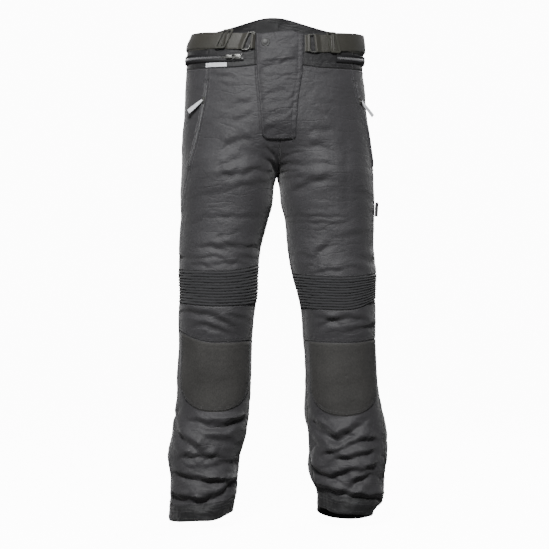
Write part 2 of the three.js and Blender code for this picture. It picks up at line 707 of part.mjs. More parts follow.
function adjuster({ side, ringZ, sideZ, width, sliderX, sliderZ, sliderLean, ringLean }) {
  const tag = side < 0 ? "R" : "L";
  const start = shareAtX(side * (RING_X + 4.5), ringZ).share;
  const strap = (u, v) => {
    const z = mix(ringZ, sideZ, smooth(clamp(u * 1.6, 0, 1))) + (v - 0.5) * width;
    return { side, share: mix(start, STRAP_END_SHARE, u), z };
  };
  layer(`strap_${tag}`, 14, 3, strap, {
    lift: STRAP_LIFT,
    colour: COLOURS.webbing,
    turned: side < 0,
  });
  const tab = (u, v) => {
    const x = side * mix(TAB_START_X[sideName(side)], TAB_END_X, u);
    return shareAtX(x, ringZ + (v - 0.5) * (width - 2));
  };
  layer(`ring_tab_${tag}`, 3, 2, tab, { colour: COLOURS.webbing, turned: side < 0 });
  const onStrap = STRAP_LIFT + OVERLAY + SEATED;
  const ring = roundedBox(RING_WIDE, RING_HIGH, 3);
  ring.holes.push(new THREE.Path(roundedBox(RING_WIDE - 2 * BAR, RING_HIGH - 2 * BAR, 1.2).getPoints(3)));
  const ringAt = shareAtX(side * RING_X, ringZ);
  const ringSeat = seat(side, ringAt.share, ringZ, onStrap);
  place(add(`ring_${tag}`, slanted(plate(ring, 2.6), ringLean), COLOURS.metal, 0.4, 0.8), ringSeat);
  const slider = roundedBox(STRAP_SLIDER_WIDE, width + 7, 2.5);
  const slotWide = (STRAP_SLIDER_WIDE - 2 * STRAP_SLIDER_RIM - STRAP_SLIDER_BAR) / 2;
  for (const hand of [-1, 1]) {
    const across = (hand * (slotWide + STRAP_SLIDER_BAR)) / 2;
    const centre = new THREE.Vector2(across, 0);
    const slot = roundedBox(slotWide, width + 1, 1).getPoints(3).map((point) => point.add(centre));
    slider.holes.push(new THREE.Path(slot));
  }
  const sliderAt = shareAtX(sliderX, sliderZ);
  const sliderSeat = seat(side, sliderAt.share, sliderZ, onStrap);
  const frame = slanted(plate(slider, 2.6), sliderLean);
  place(add(`strap_slider_${tag}`, frame, COLOURS.metal, 0.5, 0.3), sliderSeat);
}

function waistZip() {
  const tape = (u, v) => {
    const side = u < 0.5 ? -1 : 1;
    const part = 1 - Math.abs(2 * u - 1);
    const share = mix(side < 0 ? ZIP.startShare : ZIP.endShare, 1, part);
    return { side, share, z: waistSeam(share) + ZIP.above + ZIP.high * v };
  };
  layer("waist_zip_tape", 52, 1, tape, {
    lift: STRAP_LIFT,
    thick: TAPE,
    colour: COLOURS.dark,
    turned: true,
  });
  const z = waistSeam(0.22) + ZIP.above + ZIP.high / 2;
  const { side, share } = shareAtX(ZIP.sliderX, z);
  const base = seat(side, share, z, STRAP_LIFT + TAPE + SEATED);
  place(add("waist_zip_slider", plate(roundedBox(16, 12, 3), SLIDER_THICK), COLOURS.metal, 0.35, 0.9), base);
  const reach = WAIST_PULL_LONG / 2 - PULL_PAST_HINGE;
  const pull = plate(roundedBox(WAIST_PULL_LONG, 8, 2.5), PULL_THICK).translate(-reach, 0, -PULL_THICK / 2);
  const hinge = seat(side, share, z, STRAP_LIFT + TAPE + SEATED + HINGE_HEIGHT);
  hinge.origin.addScaledVector(hinge.across, -4);
  place(add("waist_zip_pull", pull, COLOURS.metal, 0.35, 0.9), hinge);
}

function pocket({ side, x, y, z }) {
  const tag = side < 0 ? "R" : "L";
  const seam = sideSeam(side);
  const welt = (u, v) => {
    const height = mix(POCKET.bottom, POCKET.top, v);
    return { side, share: seam(height) + ((u - 0.5) * POCKET.wide) / HALF_GIRTH, z: height };
  };
  layer(`pocket_welt_${tag}`, 2, 9, welt, { thick: TAPE, colour: COLOURS.shell, turned: side < 0 });
  const base = seat(side, seam(POCKET.sliderZ), POCKET.sliderZ, LIFT + TAPE + SEATED);
  const slider = plate(roundedBox(8, 13, 2.5), SLIDER_THICK);
  place(add(`pocket_slider_${tag}`, slider, COLOURS.metal, 0.4, 0.8), base);
  const along = new THREE.Vector3(x, y, z).normalize();
  const wide = base.out.clone().cross(along).normalize();
  const out = along.clone().cross(wide);
  const shape = new THREE.Shape();
  shape.moveTo(0, -PULL_WIDE * 0.25);
  shape.lineTo(PULL_LONG * 0.35, -PULL_WIDE / 2);
  shape.lineTo(PULL_LONG, -PULL_WIDE / 2);
  shape.lineTo(PULL_LONG, PULL_WIDE / 2);
  shape.lineTo(PULL_LONG * 0.35, PULL_WIDE / 2);
  shape.lineTo(0, PULL_WIDE * 0.25);
  shape.closePath();
  const origin = base.origin.clone().addScaledVector(base.out, HINGE_HEIGHT);
  const geometry = plate(shape, PULL_THICK).translate(0, 0, -PULL_THICK / 2);
  const pull = add(`pocket_pull_${tag}`, geometry, COLOURS.reflective, 0.5);
  place(pull, { origin, across: along, up: wide, out });
}

// Plain small pieces: a tape patch, a label inside the back and a loop in the left side seam
function labels() {
  const patch = (u, v) => {
    const { share } = shareAtX(mix(-110, -152, u), -40);
    return { side: -1, share, z: waistSeam(share) + 2 + 9 * v };
  };
  layer("waist_patch", 4, 1, patch, { thick: 0.8, colour: COLOURS.reflective, turned: true });
  const inside = (u, v) => shareAtX(mix(-38, 10, u), mix(22, 68, v), true);
  const behindWall = { lift: -WALL - LIFT - 1, thick: 1 };
  layer("inside_label", 4, 2, inside, { ...behindWall, colour: COLOURS.dark, turned: true });
  const loopSeat = seat(1, sideSeam(1)(LOOP_Z), LOOP_Z, SEATED);
  const loop = new THREE.BoxGeometry(1.6, 31, 7).translate(0, 0, 3.5);
  loop.deleteAttribute("normal");
  loop.deleteAttribute("uv");
  place(add("side_label", mergeVertices(loop, 1e-3), COLOURS.dark), loopSeat);
}

for (const side of [-1, 1]) {
  legPanels(side);
  shinShield(side);
  hemCuff(side);
}
waistband();
flyFlap();
ADJUSTERS.forEach(adjuster);
waistZip();
POCKET_PULLS.forEach(pocket);
labels();

export default trousers;
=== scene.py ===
import math

import bpy
import numpy as np
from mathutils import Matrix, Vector


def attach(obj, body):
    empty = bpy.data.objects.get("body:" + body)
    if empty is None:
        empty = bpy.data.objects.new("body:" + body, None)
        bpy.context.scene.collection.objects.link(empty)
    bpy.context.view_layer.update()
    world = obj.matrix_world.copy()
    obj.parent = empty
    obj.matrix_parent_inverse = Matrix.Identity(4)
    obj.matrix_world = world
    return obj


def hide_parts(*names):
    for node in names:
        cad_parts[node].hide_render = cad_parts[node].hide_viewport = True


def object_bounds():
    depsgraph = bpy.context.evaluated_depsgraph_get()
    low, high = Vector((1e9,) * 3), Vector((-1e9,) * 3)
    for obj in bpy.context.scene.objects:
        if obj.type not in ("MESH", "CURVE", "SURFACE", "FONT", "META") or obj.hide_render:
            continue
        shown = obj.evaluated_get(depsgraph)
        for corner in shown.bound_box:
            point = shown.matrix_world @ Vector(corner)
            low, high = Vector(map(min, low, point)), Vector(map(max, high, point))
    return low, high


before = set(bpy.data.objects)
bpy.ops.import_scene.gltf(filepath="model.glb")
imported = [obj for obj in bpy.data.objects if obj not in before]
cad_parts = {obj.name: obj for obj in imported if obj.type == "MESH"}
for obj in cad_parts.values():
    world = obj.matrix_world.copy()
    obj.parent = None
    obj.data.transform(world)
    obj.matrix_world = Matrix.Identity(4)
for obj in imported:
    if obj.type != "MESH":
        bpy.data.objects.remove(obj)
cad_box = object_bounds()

# Motorcycle trousers, filled out and hollow. The form is worked out in millimetres, +Z up and the
# front towards -Y, and meshes are made in metres. Side -1 is the wearer's right leg, +1 the left.
MM = 0.001
GARMENT = "garment"
WALL = 1.8  # thickness of the cloth
CROTCH_Z = -260
CROTCH_CROWDING = 1.4  # rows of faces crowd towards the crotch by this power
RISE = 115  # height over which two legs become one pair of hips
WAISTBAND = 68
HIP_SQUARENESS = 2.3
LEG_SQUARENESS = 2.25
CUFF = 34
CUFF_ROWS = (21.0, 27.0)  # heights of the stitching above the hem
INSEAM_LOW = 0.035  # where the inside leg seam meets the hem, as a share of the way round
SIDE_LOW = 0.44  # and the side seam
SEAM_LAP = 0.1  # how far the pieces pass their seams, so that no light shows between them
THIGH_FOLDS = 1.15  # how much deeper the creases are than in their tables, on the thighs
SHIN_FOLDS = 2.2  # and at the hems
BACK_KNEE_Z = -505
RIB_COUNT = 12
RIB_HEIGHT = 2.6
HALF_ROUND = 520  # about the way round half the hips or one leg, for widths along the cloth
HALF_GIRTH = 560  # the same, for the width of the pockets
PITCH = 3.0  # size of a facet of the cloth
STRAP_WIDTHS = {-1: 33, 1: 36}
TAGS = {-1: "R", 1: "L"}


def table(names, *rows):
    """Columns by name; z falls from row to row."""
    return {name: np.array([row[i] for row in rows], float) for i, name in enumerate(names)}


# The hips, section by section: half widths to each side, and how far front and back reach
HIPS = table(
    ("z", "right", "left", "front", "back"),
    (95, 170, 174, -98, 112),
    (30, 177, 180, -103, 118),
    (5, 187, 183, -106, 122),
    (-40, 190, 181, -109, 127),
    (-90, 193, 185, -113, 136),
    (-150, 196, 192, -116, 142),
    (-210, 199.5, 199.5, -115, 138),
    (-275, 201, 203, -110, 126),
)

# Each leg, section by section: inner and outer are distances from the middle plane
LEGS = {
    -1: table(
        ("z", "inner", "outer", "front", "back"),
        (-140, 0, 197, -114, 138),
        (-260, 0, 201, -111, 126),
        (-290, 7, 202.5, -108, 118),
        (-325, 10, 203, -105, 110),
        (-357, 19, 202, -102, 102),
        (-420, 35, 206, -99, 90),
        (-470, 41, 207, -102, 80),
        (-510, 42, 204, -103, 75),
        (-560, 49, 207, -99, 74),
        (-620, 53, 207, -90, 79),
        (-690, 54, 210, -83, 84),
        (-755, 58, 212, -80, 87),
        (-800, 64, 222, -84, 88),
        (-845, 76, 228, -84, 88),
        (-885, 81, 224, -82, 87),
        (-925, 85, 226, -83, 87),
        (-1010, 98, 223, -80, 88),
    ),
    1: table(
        ("z", "inner", "outer", "front", "back"),
        (-140, 0, 191, -114, 138),
        (-260, 0, 203, -111, 126),
        (-290, 6, 204, -108, 118),
        (-325, 9, 206, -105, 110),
        (-357, 17, 204, -102, 102),
        (-420, 22, 202, -99, 90),
        (-465, 30, 207, -102, 80),
        (-510, 41, 205, -103, 75),
        (-560, 51, 205, -99, 74),
        (-620, 56, 207, -90, 79),
        (-690, 59, 211, -83, 84),
        (-755, 61, 223, -80, 90),
        (-800, 63, 231, -84, 92),
        (-845, 66, 233, -84, 92),
        (-885, 72, 231, -82, 90),
        (-925, 82, 226, -83, 88),
        (-948, 83, 221, -82, 88),
        (-968, 84, 203, -81, 88),
        (-1010, 86, 196, -80, 88),
    ),
}

# Where the side seam and the inside leg seam run, as a share of the way round
SIDE_SEAM = table(
    ("z", "right", "left"),
    (95, 0.352, 0.37),
    (-70, 0.345, 0.376),
    (-150, 0.362, 0.413),
    (-245, 0.406, 0.452),
    (-340, 0.456, 0.47),
    (-450, 0.478, 0.48),
    (-560, 0.482, 0.482),
    (-680, 0.475, 0.468),
    (-740, 0.468, 0.446),
    (-800, 0.457, 0.415),
    (-870, 0.448, 0.408),
    (-925, 0.443, 0.43),
    (-1010, 0.44, 0.432),
)
INSEAM = table(("z", "share"), (95, 0), (-262, 0), (-420, 0.02), (-560, 0.03), (-1010, 0.035))

# Heights of the seams across the front of each leg: at its outer edge, middle and inner edge
OUTLINES = {
    -1: {
        "knee_top": (-463, -466, -453),
        "knee_bottom": (-530, -537, -531),
        "band_bottom": (-589, -612, -609),
        "hem": (-985, -980, -966),
    },
    1: {
        "knee_top": (-470, -478, -472),
        "knee_bottom": (-522, -545, -541),
        "band_bottom": (-606, -613, -610),
        "hem": (-974, -968, -958),
    },
}
HEM_DROP = {-1: 6, 1: 28}  # how far a hem falls towards the back
SHIELDS = {-1: {"sides": -690, "bottom": -755}, 1: {"sides": -700, "bottom": -765}}
SHIELD_WIDE = 195

# Creases of the front: a trough from one end to the other, bowed up by bow at its middle,
# with its depth and half width, and the height of the roll of cloth above it
FRONT_FOLDS = table(
    ("x1", "z1", "x2", "z2", "bow", "deep", "wide", "ridge"),
    # right thigh
    (-190, -60, -95, -67, 2, 1.6, 5, 1.2),
    (-132, -76, -93, -86, 0, 1.0, 5, 0.8),
    (-194, -92, -175, -79, 0, 1.2, 5, 0.9),
    (-101, -127, -56, -115, 2, 1.6, 6, 1.2),
    (-94, -157, -56, -138, -2, 1.3, 5, 1.0),
    (-150, -168, -112, -150, 3, 0.9, 7, 0.7),
    (-117, -214, -56, -195, 8, 2.4, 7, 1.8),
    (-132, -251, -87, -234, 0, 2.0, 6, 1.5),
    (-185, -262, -150, -240, 3, 1.4, 8, 1.0),
    (-125, -269, -45, -259, -2, 3.2, 7, 2.6),
    (-88, -292, -30, -284, 3, 1.4, 6, 1.2),
    (-190, -318, -120, -306, 4, 1.0, 7, 0.8),
    (-154, -354, -45, -354, 0, 1.5, 5, 1.2),
    (-198, -372, -160, -362, 0, 1.2, 6, 1.0),
    (-125, -395, -87, -385, 0, 1.5, 5, 1.2),
    (-169, -417, -103, -430, 7, 3.2, 6, 2.4),
    (-121, -411, -49, -417, -2, 2.8, 6, 2.2),
    (-171, -440, -117, -438, 3, 2.2, 5, 1.8),
    (-86, -436, -53, -438, 0, 2.0, 5, 1.6),
    (-187, -456, -146, -456, 4, 2.0, 5, 1.6),
    (-140, -450, -76, -448, 0, 2.0, 5, 1.6),
    (-210, -440, -181, -438, 0, 2.2, 5, 1.6),
    # drag lines at the crotch
    (-34, -206, -8, -232, 2, 3.4, 4, 2.4),
    (-12, -208, -5, -246, 1, 3.0, 4, 2.0),
    (-30, -232, -8, -256, 3, 2.4, 4, 1.8),
    (-62, -256, -14, -266, 3, 1.8, 5, 1.4),
    (8, -206, 30, -200, 2, 1.8, 4, 1.4),
    (6, -228, 40, -222, 2, 2.0, 4, 1.5),
    (4, -262, 40, -259, 2, 2.2, 4, 1.6),
    # left thigh
    (43, -118, 115, -120, 3, 1.1, 5, 0.9),
    (55, -125, 95, -144, 0, 1.1, 5, 0.9),
    (39, -181, 113, -175, 3, 1.7, 6, 1.3),
    (12, -214, 113, -220, 12, 2.3, 7, 1.7),
    (2, -245, 62, -249, 2, 2.0, 6, 1.5),
    (64, -241, 107, -245, 0, 1.3, 5, 1.1),
    (8, -273, 51, -269, 0, 2.2, 6, 1.7),
    (35, -298, 101, -276, 6, 3.6, 7, 2.8),
    (140, -339, 140, -175, 4, 1.6, 12, 0.9),
    (150, -300, 195, -318, 3, 1.1, 7, 0.9),
    (12, -352, 134, -354, 0, 1.5, 4, 1.2),
    (14, -363, 134, -367, 0, 1.5, 4, 1.2),
    (120, -398, 190, -386, 3, 1.1, 6, 0.9),
    (70, -448, 99, -409, 3, 2.8, 7, 1.8),
    (38, -430, 70, -441, 2, 1.6, 5, 1.3),
    (74, -469, 136, -467, 5, 1.7, 4, 1.4),
    (125, -458, 171, -462, 3, 1.6, 5, 1.3),
    (160, -436, 200, -448, 3, 1.8, 6, 1.4),
    # knee bands
    (-208, -551, -101, -578, 10, 2.6, 6, 2.0),
    (-170, -574, -110, -592, 3, 1.8, 5, 1.4),
    (-110, -556, -70, -566, 3, 1.5, 5, 1.2),
    (86, -576, 177, -567, 8, 2.4, 6, 1.8),
    (70, -560, 118, -571, 2, 1.5, 5, 1.2),
    (140, -590, 198, -580, 2, 1.6, 5, 1.3),
    # right shin
    (-204, -755, -140, -765, 0, 2.4, 5, 2.2),
    (-193, -769, -76, -771, -9, 3.4, 7, 2.8),
    (-154, -787, -76, -769, -8, 3.2, 6, 2.6),
    (-212, -804, -169, -833, 0, 3.6, 7, 3.2),
    (-150, -812, -96, -822, 4, 1.6, 7, 1.5),
    (-204, -851, -127, -851, 2, 2.4, 6, 2.2),
    (-140, -868, -92, -862, 2, 1.6, 6, 1.4),
    (-206, -888, -93, -903, -4, 3.6, 6, 3.0),
    (-156, -898, -93, -901, 3, 2.0, 4, 1.5),
    (-226, -931, -97, -904, -24, 4.4, 8, 3.4),
    (-204, -929, -169, -938, 0, 2.0, 4, 1.5),
    # left shin
    (70, -779, 121, -810, -2, 3.6, 7, 3.0),
    (121, -810, 171, -781, -2, 3.6, 7, 3.0),
    (76, -796, 119, -818, 0, 2.2, 5, 2.0),
    (119, -818, 158, -804, 0, 2.2, 5, 2.0),
    (158, -773, 187, -767, 0, 2.2, 5, 1.8),
    (142, -824, 199, -816, 2, 3.2, 6, 2.6),
    (99, -845, 136, -833, 0, 2.8, 5, 2.2),
    (119, -855, 191, -841, -3, 3.2, 6, 2.8),
    (105, -896, 162, -876, 2, 3.2, 6, 2.6),
    (164, -882, 197, -870, 0, 2.8, 5, 2.4),
    (148, -911, 193, -888, 3, 3.2, 6, 2.8),
    (68, -870, 113, -896, -3, 3.2, 6, 2.6),
    (76, -913, 218, -938, -5, 4.4, 6, 3.8),
)

# Creases of the back, of the same kinds as those that show in front
BACK_FOLDS = table(
    ("x1", "z1", "x2", "z2", "bow", "deep", "wide", "ridge"),
    # below the waistband and across the seat
    (-150, -30, -60, -20, 3, 1.4, 7, 1.1),
    (50, -18, 140, -34, 2, 1.4, 7, 1.1),
    (-120, -95, -40, -120, -4, 1.6, 8, 1.2),
    (35, -128, 128, -98, -4, 1.6, 8, 1.2),
    (-165, -232, -40, -262, -5, 3.6, 8, 2.6),
    (40, -258, 168, -238, -6, 3.6, 8, 2.6),
    (-120, -268, -30, -292, -3, 2.6, 7, 2.0),
    (28, -288, 118, -270, -3, 2.6, 7, 2.0),
    # backs of the thighs
    (-150, -330, -50, -348, 3, 2.4, 7, 1.8),
    (45, -340, 150, -322, 3, 2.4, 7, 1.8),
    (-175, -378, -90, -390, 2, 1.6, 7, 1.3),
    (85, -386, 170, -372, 2, 1.6, 7, 1.3),
    (-160, -428, -70, -436, -3, 2.4, 7, 2.0),
    (66, -430, 172, -424, -3, 2.4, 7, 2.0),
    (-185, -470, -60, -482, 3, 4.2, 7, 3.4),
    (55, -476, 185, -466, 3, 4.2, 7, 3.4),
    (-140, -490, -66, -498, 0, 2.4, 5, 2.0),
    (70, -492, 140, -488, 0, 2.4, 5, 2.0),
    # behind the knees
    (-180, -545, -75, -532, -3, 4.0, 7, 3.2),
    (72, -536, 180, -550, -3, 4.0, 7, 3.2),
    (-190, -578, -110, -566, 2, 2.6, 6, 2.2),
    (104, -568, 188, -582, 2, 2.6, 6, 2.2),
    (-170, -622, -84, -610, 2, 1.8, 7, 1.5),
    (84, -612, 166, -626, 2, 1.8, 7, 1.5),
    # calves
    (-196, -702, -120, -690, 2, 1.6, 8, 1.3),
    (118, -694, 192, -706, 2, 1.6, 8, 1.3),
    (-205, -770, -110, -782, -4, 2.8, 7, 2.4),
    (100, -776, 206, -766, -4, 2.8, 7, 2.4),
    (-200, -820, -90, -838, 4, 3.6, 7, 3.0),
    (88, -832, 205, -815, 4, 3.6, 7, 3.0),
    (-210, -866, -140, -858, 0, 2.6, 6, 2.2),
    (120, -858, 212, -870, 0, 2.6, 6, 2.2),
    (-195, -905, -105, -922, -5, 3.8, 7, 3.0),
    (98, -918, 205, -900, -5, 3.8, 7, 3.0),
    (-214, -938, -150, -932, 2, 2.8, 6, 2.4),
    (150, -930, 214, -936, 2, 2.8, 6, 2.4),
)

# The fly flap, by the x of its free edge and of its stitched edge
FLY_EDGES = table(
    ("z", "free", "sewn"), (30, -50, 48), (-55, -48.5, 45), (-105, -44.5, 37), (-192, -38.5, 31)
)
FLY_CORNER = 14
FLY_LIFT = 0.5
FLY_THICK = 2.2
FLY_PEAK = 6  # how far its top rises near its sewn edge
FLY_CURL = 2.6  # how far its free edge stands off

# The waist adjusters: z is the middle of the webbing at its ring and at the side seam
ADJUSTERS = (
    {
        "side": -1, "ring_z": 8, "side_z": 13, "ring_lean": -20,
        "slider_x": -114, "slider_z": 13, "slider_lean": -24,
    },
    {
        "side": 1, "ring_z": 4, "side_z": 11, "ring_lean": 8,
        "slider_x": 109, "slider_z": 7, "slider_lean": 12,
    },
)
RING_X = 66
RING_WIDE = 17
RING_HIGH = 39
WIRE = 1.5  # radius of a ring's wire
RING_LIFT = 4.4
STRAP_LIFT = 2.7
WEBBING = 1.3
STRAP_END_SHARE = 0.53
STRAP_SLIDER = {"wide": 23.5, "past": 4, "rim": 4.3, "bar": 2.8, "lift": 4.8}

# The waist zip runs round the back, a fixed height above the waist seam
ZIP = {"start": 0.19, "end": 0.285, "above": 13, "high": 17, "slider_x": -88, "lift": 1.3}
POCKET = {"top": -72, "bottom": -248, "wide": 11, "slider_z": -112}
POCKET_PULLS = ({"side": -1, "to": (-0.7, 0.42, -0.575)}, {"side": 1, "to": (0.61, 0.238, -0.756)})
PULL_LONG = 40
PULL_WIDE = 9
PULL_HALF = 0.7  # half its thickness
POCKET_LIFT = 0.5
TAPE = 1.2
SLIDER_THICK = 3
HINGE_HEIGHT = SLIDER_THICK + 1.4
SEATED = 0.35
SHIELD_STITCHES = (3.4, 8.4)  # how far in from its edge
INSET = 3.2  # how far the stitching lies from its seam
SECOND_INSET = 8.2


# The form of the garment, the same as the solids', for arrays of places


def mix(a, b, share):
    return a + (b - a) * share


def smooth(share):
    share = np.clip(share, 0, 1)
    return share * share * (3 - 2 * share)


def power(value, exponent):
    return np.sign(value) * np.abs(value) ** exponent


def at(rows, name, z):
    """One column of a table at heights z, on a smooth curve through its rows."""
    heights, values = rows["z"], rows[name]
    last = len(heights) - 1
    before = np.arange(-1, last).clip(0)
    after = np.arange(1, last + 2).clip(max=last)
    slopes = (values[after] - values[before]) / (heights[after] - heights[before])
    z = np.clip(z, heights[-1], heights[0])
    i = np.clip(np.searchsorted(-heights, -z, side="right") - 1, 0, last - 1)
    step = heights[i + 1] - heights[i]
    s = (z - heights[i]) / step
    h = smooth(s)
    level = values[i] * (1 - h) + values[i + 1] * h
    return level + slopes[i] * step * s * (1 - s) ** 2 - slopes[i + 1] * step * s * s * (1 - s)


def hip_point(side, share, z):
    """Share 0 is the middle of the front and share 1 the middle of the back."""
    angle = np.pi * share - (np.pi / 12) * np.sin(2 * np.pi * share)
    reach = np.where(np.cos(angle) > 0, -at(HIPS, "front", z), at(HIPS, "back", z))
    half = np.where(side < 0, at(HIPS, "right", z), at(HIPS, "left", z))
    x = side * half * power(np.sin(angle), 2 / HIP_SQUARENESS)
    y = -reach * power(np.cos(angle), 2 / HIP_SQUARENESS)
    return np.stack(np.broadcast_arrays(x, y, z), axis=-1)


def leg_point(side, share, z):
    """Share 0 is the inner side of the leg, 0.25 its front and 0.5 its outer side."""
    inner, outer, front, back = (
        np.where(side < 0, at(LEGS[-1], name, z), at(LEGS[1], name, z))
        for name in ("inner", "outer", "front", "back")
    )
    across = power(np.cos(2 * np.pi * share), 2 / LEG_SQUARENESS)
    deep = power(np.sin(2 * np.pi * share), 2 / LEG_SQUARENESS)
    x = side * ((inner + outer) / 2 - across * (outer - inner) / 2)
    y = (front + back) / 2 - deep * (back - front) / 2
    return np.stack(np.broadcast_arrays(x, y, z), axis=-1)


def form_point(side, share, z):
    """The form with no folds: the two legs grow into the hips above the crotch."""
    side, share, z = (np.asarray(value, float) for value in np.broadcast_arrays(side, share, z))
    legs, hips = leg_point(side, share, z), hip_point(side, share, z)
    climbed = np.clip((z - CROTCH_Z) / RISE, 0, 1)
    late = 0.5 + 1.1 * np.sin(np.pi * (share - np.floor(share)))
    weight = (1 - (1 - climbed) ** 2) ** late
    return legs + (hips - legs) * weight[..., None]


def unit(vectors):
    return vectors / np.maximum(np.linalg.norm(vectors, axis=-1, keepdims=True), 1e-9)


def form_normal(side, share, z):
    across = form_point(side, share + 0.006, z) - form_point(side, share - 0.006, z)
    up = form_point(side, share, z + 3) - form_point(side, share, z - 3)
    return unit(np.cross(across, up) * np.asarray(side, float)[..., None])


def inseam(z):
    return np.maximum(0, at(INSEAM, "share", z))


def side_seam(side, z):
    return np.where(np.asarray(side) < 0, at(SIDE_SEAM, "right", z), at(SIDE_SEAM, "left", z))


def back_inseam(z):
    return 1 + inseam(z)


def share_at_x(x, z, behind=False):
    """Side and share of the form's front, or back, at x."""
    x, z = (np.asarray(value, float) for value in np.broadcast_arrays(x, z))
    side = np.where(x < 0, -1.0, 1.0)
    low = np.full_like(x, 1.0 if behind else 0.0)
    high = np.full_like(x, 0.55 if behind else 0.45)
    for _ in range(26):
        middle = (low + high) / 2
        short = side * form_point(side, middle, z)[..., 0] < np.abs(x)
        low, high = np.where(short, middle, low), np.where(short, high, middle)
    return side, (low + high) / 2


# Folds, ripples and seams: how far the cloth stands off its form


def fold_height(x, z, folds, seed):
    """Troughs and rolls seen from the front or from behind, each a little uneven."""
    draw = np.random.default_rng(seed)
    height = np.zeros_like(x)
    for x1, z1, x2, z2, bow, deep, wide, ridge in zip(*(folds[name] for name in folds)):
        wander, phase, beat = draw.uniform(0.6, 1.6), draw.uniform(0, 6.3), draw.uniform(26, 44)
        long = math.hypot(x2 - x1, z2 - z1)
        run_x, run_z = (x2 - x1) / long, (z2 - z1) / long
        margin = 7 * wide + abs(bow)
        near = (x > min(x1, x2) - margin) & (x < max(x1, x2) + margin)
        near &= (z > min(z1, z2) - margin) & (z < max(z1, z2) + margin)
        along = (x[near] - x1) * run_x + (z[near] - z1) * run_z
        off = (z[near] - z1) * run_x - (x[near] - x1) * run_z
        part = np.clip(along / long, -0.1, 1.1)
        off = off - 4 * bow * part * (1 - part) - wander * np.sin(2 * np.pi * along / beat + phase)
        past = np.maximum(0, np.maximum(-along, along - long))
        fade = np.exp(-((past / (1.6 * wide)) ** 2)) * (0.8 + 0.2 * np.sin(along / beat * 4 + phase))
        fade *= 0.45 + 0.55 * smooth(np.minimum(part, 1 - part) * 4 + 0.25)
        steep = np.where(off > 0, 0.55 * wide, 1.3 * wide)
        trough = 0.9 * np.exp(-(np.abs(off / steep) ** 1.3))
        roll_wide = np.where(off > 1.8 * wide, 2.4 * wide, 0.95 * wide)
        roll = 1.25 * np.exp(-(np.abs((off - 1.8 * wide) / roll_wide) ** 1.7))
        under = np.exp(-(((off + 2.2 * wide) / (1.3 * wide)) ** 2))
        height[near] += fade * (ridge * roll + 0.4 * ridge * under - deep * trough)
    return mix(THIGH_FOLDS, SHIN_FOLDS, smooth((-400 - z) / 300)) * height


def ripple(points, seed, short, long, lean, count=10):
    """Waves of mixed lengths that run about level round the garment."""
    draw = np.random.default_rng(seed)
    total = np.zeros(points.shape[:-1])
    for _ in range(count):
        way = np.array([draw.normal(0, lean), draw.normal(0, lean), 1.0])
        way *= 2 * np.pi / draw.uniform(short, long) / np.linalg.norm(way)
        total += np.sin(points @ way + draw.uniform(0, 2 * np.pi))
    return total / math.sqrt(count)


def creases(points, seed, short, long, lean, sharp=0.22, count=6):
    """Sharp shallow valleys between flat places, which come and go in patches."""
    draw = np.random.default_rng(seed)
    total = np.zeros(points.shape[:-1])
    for k in range(count):
        way = np.array([draw.normal(0, lean), draw.normal(0, lean), 1.0])
        way *= np.pi / draw.uniform(short, long) / np.linalg.norm(way)
        bent = 0.8 * np.sin(points[..., 0] / draw.uniform(22, 40) + draw.uniform(0, 6))
        valley = np.exp(-np.abs(np.sin(points @ way + bent + draw.uniform(0, 6))) / sharp)
        total -= valley * smooth(ripple(points, seed + k + 1, 60, 150, 1.4, 4) - 0.35)
    return total


def seam_relief(distance, allowance=0.0):
    """A stitched-down edge: a groove at the seam, and the double cloth beside it."""
    groove = -1.1 * np.exp(-((distance / 1.5) ** 2))
    return groove + allowance * smooth((distance - 0.6) / 1.6) * smooth((9.5 - distance) / 1.8)


def calm_zone(side, share, point, behind):
    """Where the cloth lies plain: under the fly flap and under the shin shields."""
    x, z = point[..., 0], point[..., 2]
    past_fly = np.clip((np.abs(x) - 52) / 16, 0, 1)
    below_fly = np.clip((-200 - z) / 16, 0, 1)
    calm = smooth(np.maximum(past_fly, below_fly))
    bottom = np.where(side < 0, SHIELDS[-1]["bottom"], SHIELDS[1]["bottom"])
    below_shield = np.where(behind | (z > -600), 1.0, np.clip((bottom - z) / 12, 0, 1))
    seam = side_seam(side, z)
    middle = np.minimum(np.abs(share - inseam(z)), np.abs(share - seam)) * HALF_ROUND
    return calm * np.maximum(below_shield, smooth(1 - middle / 28))


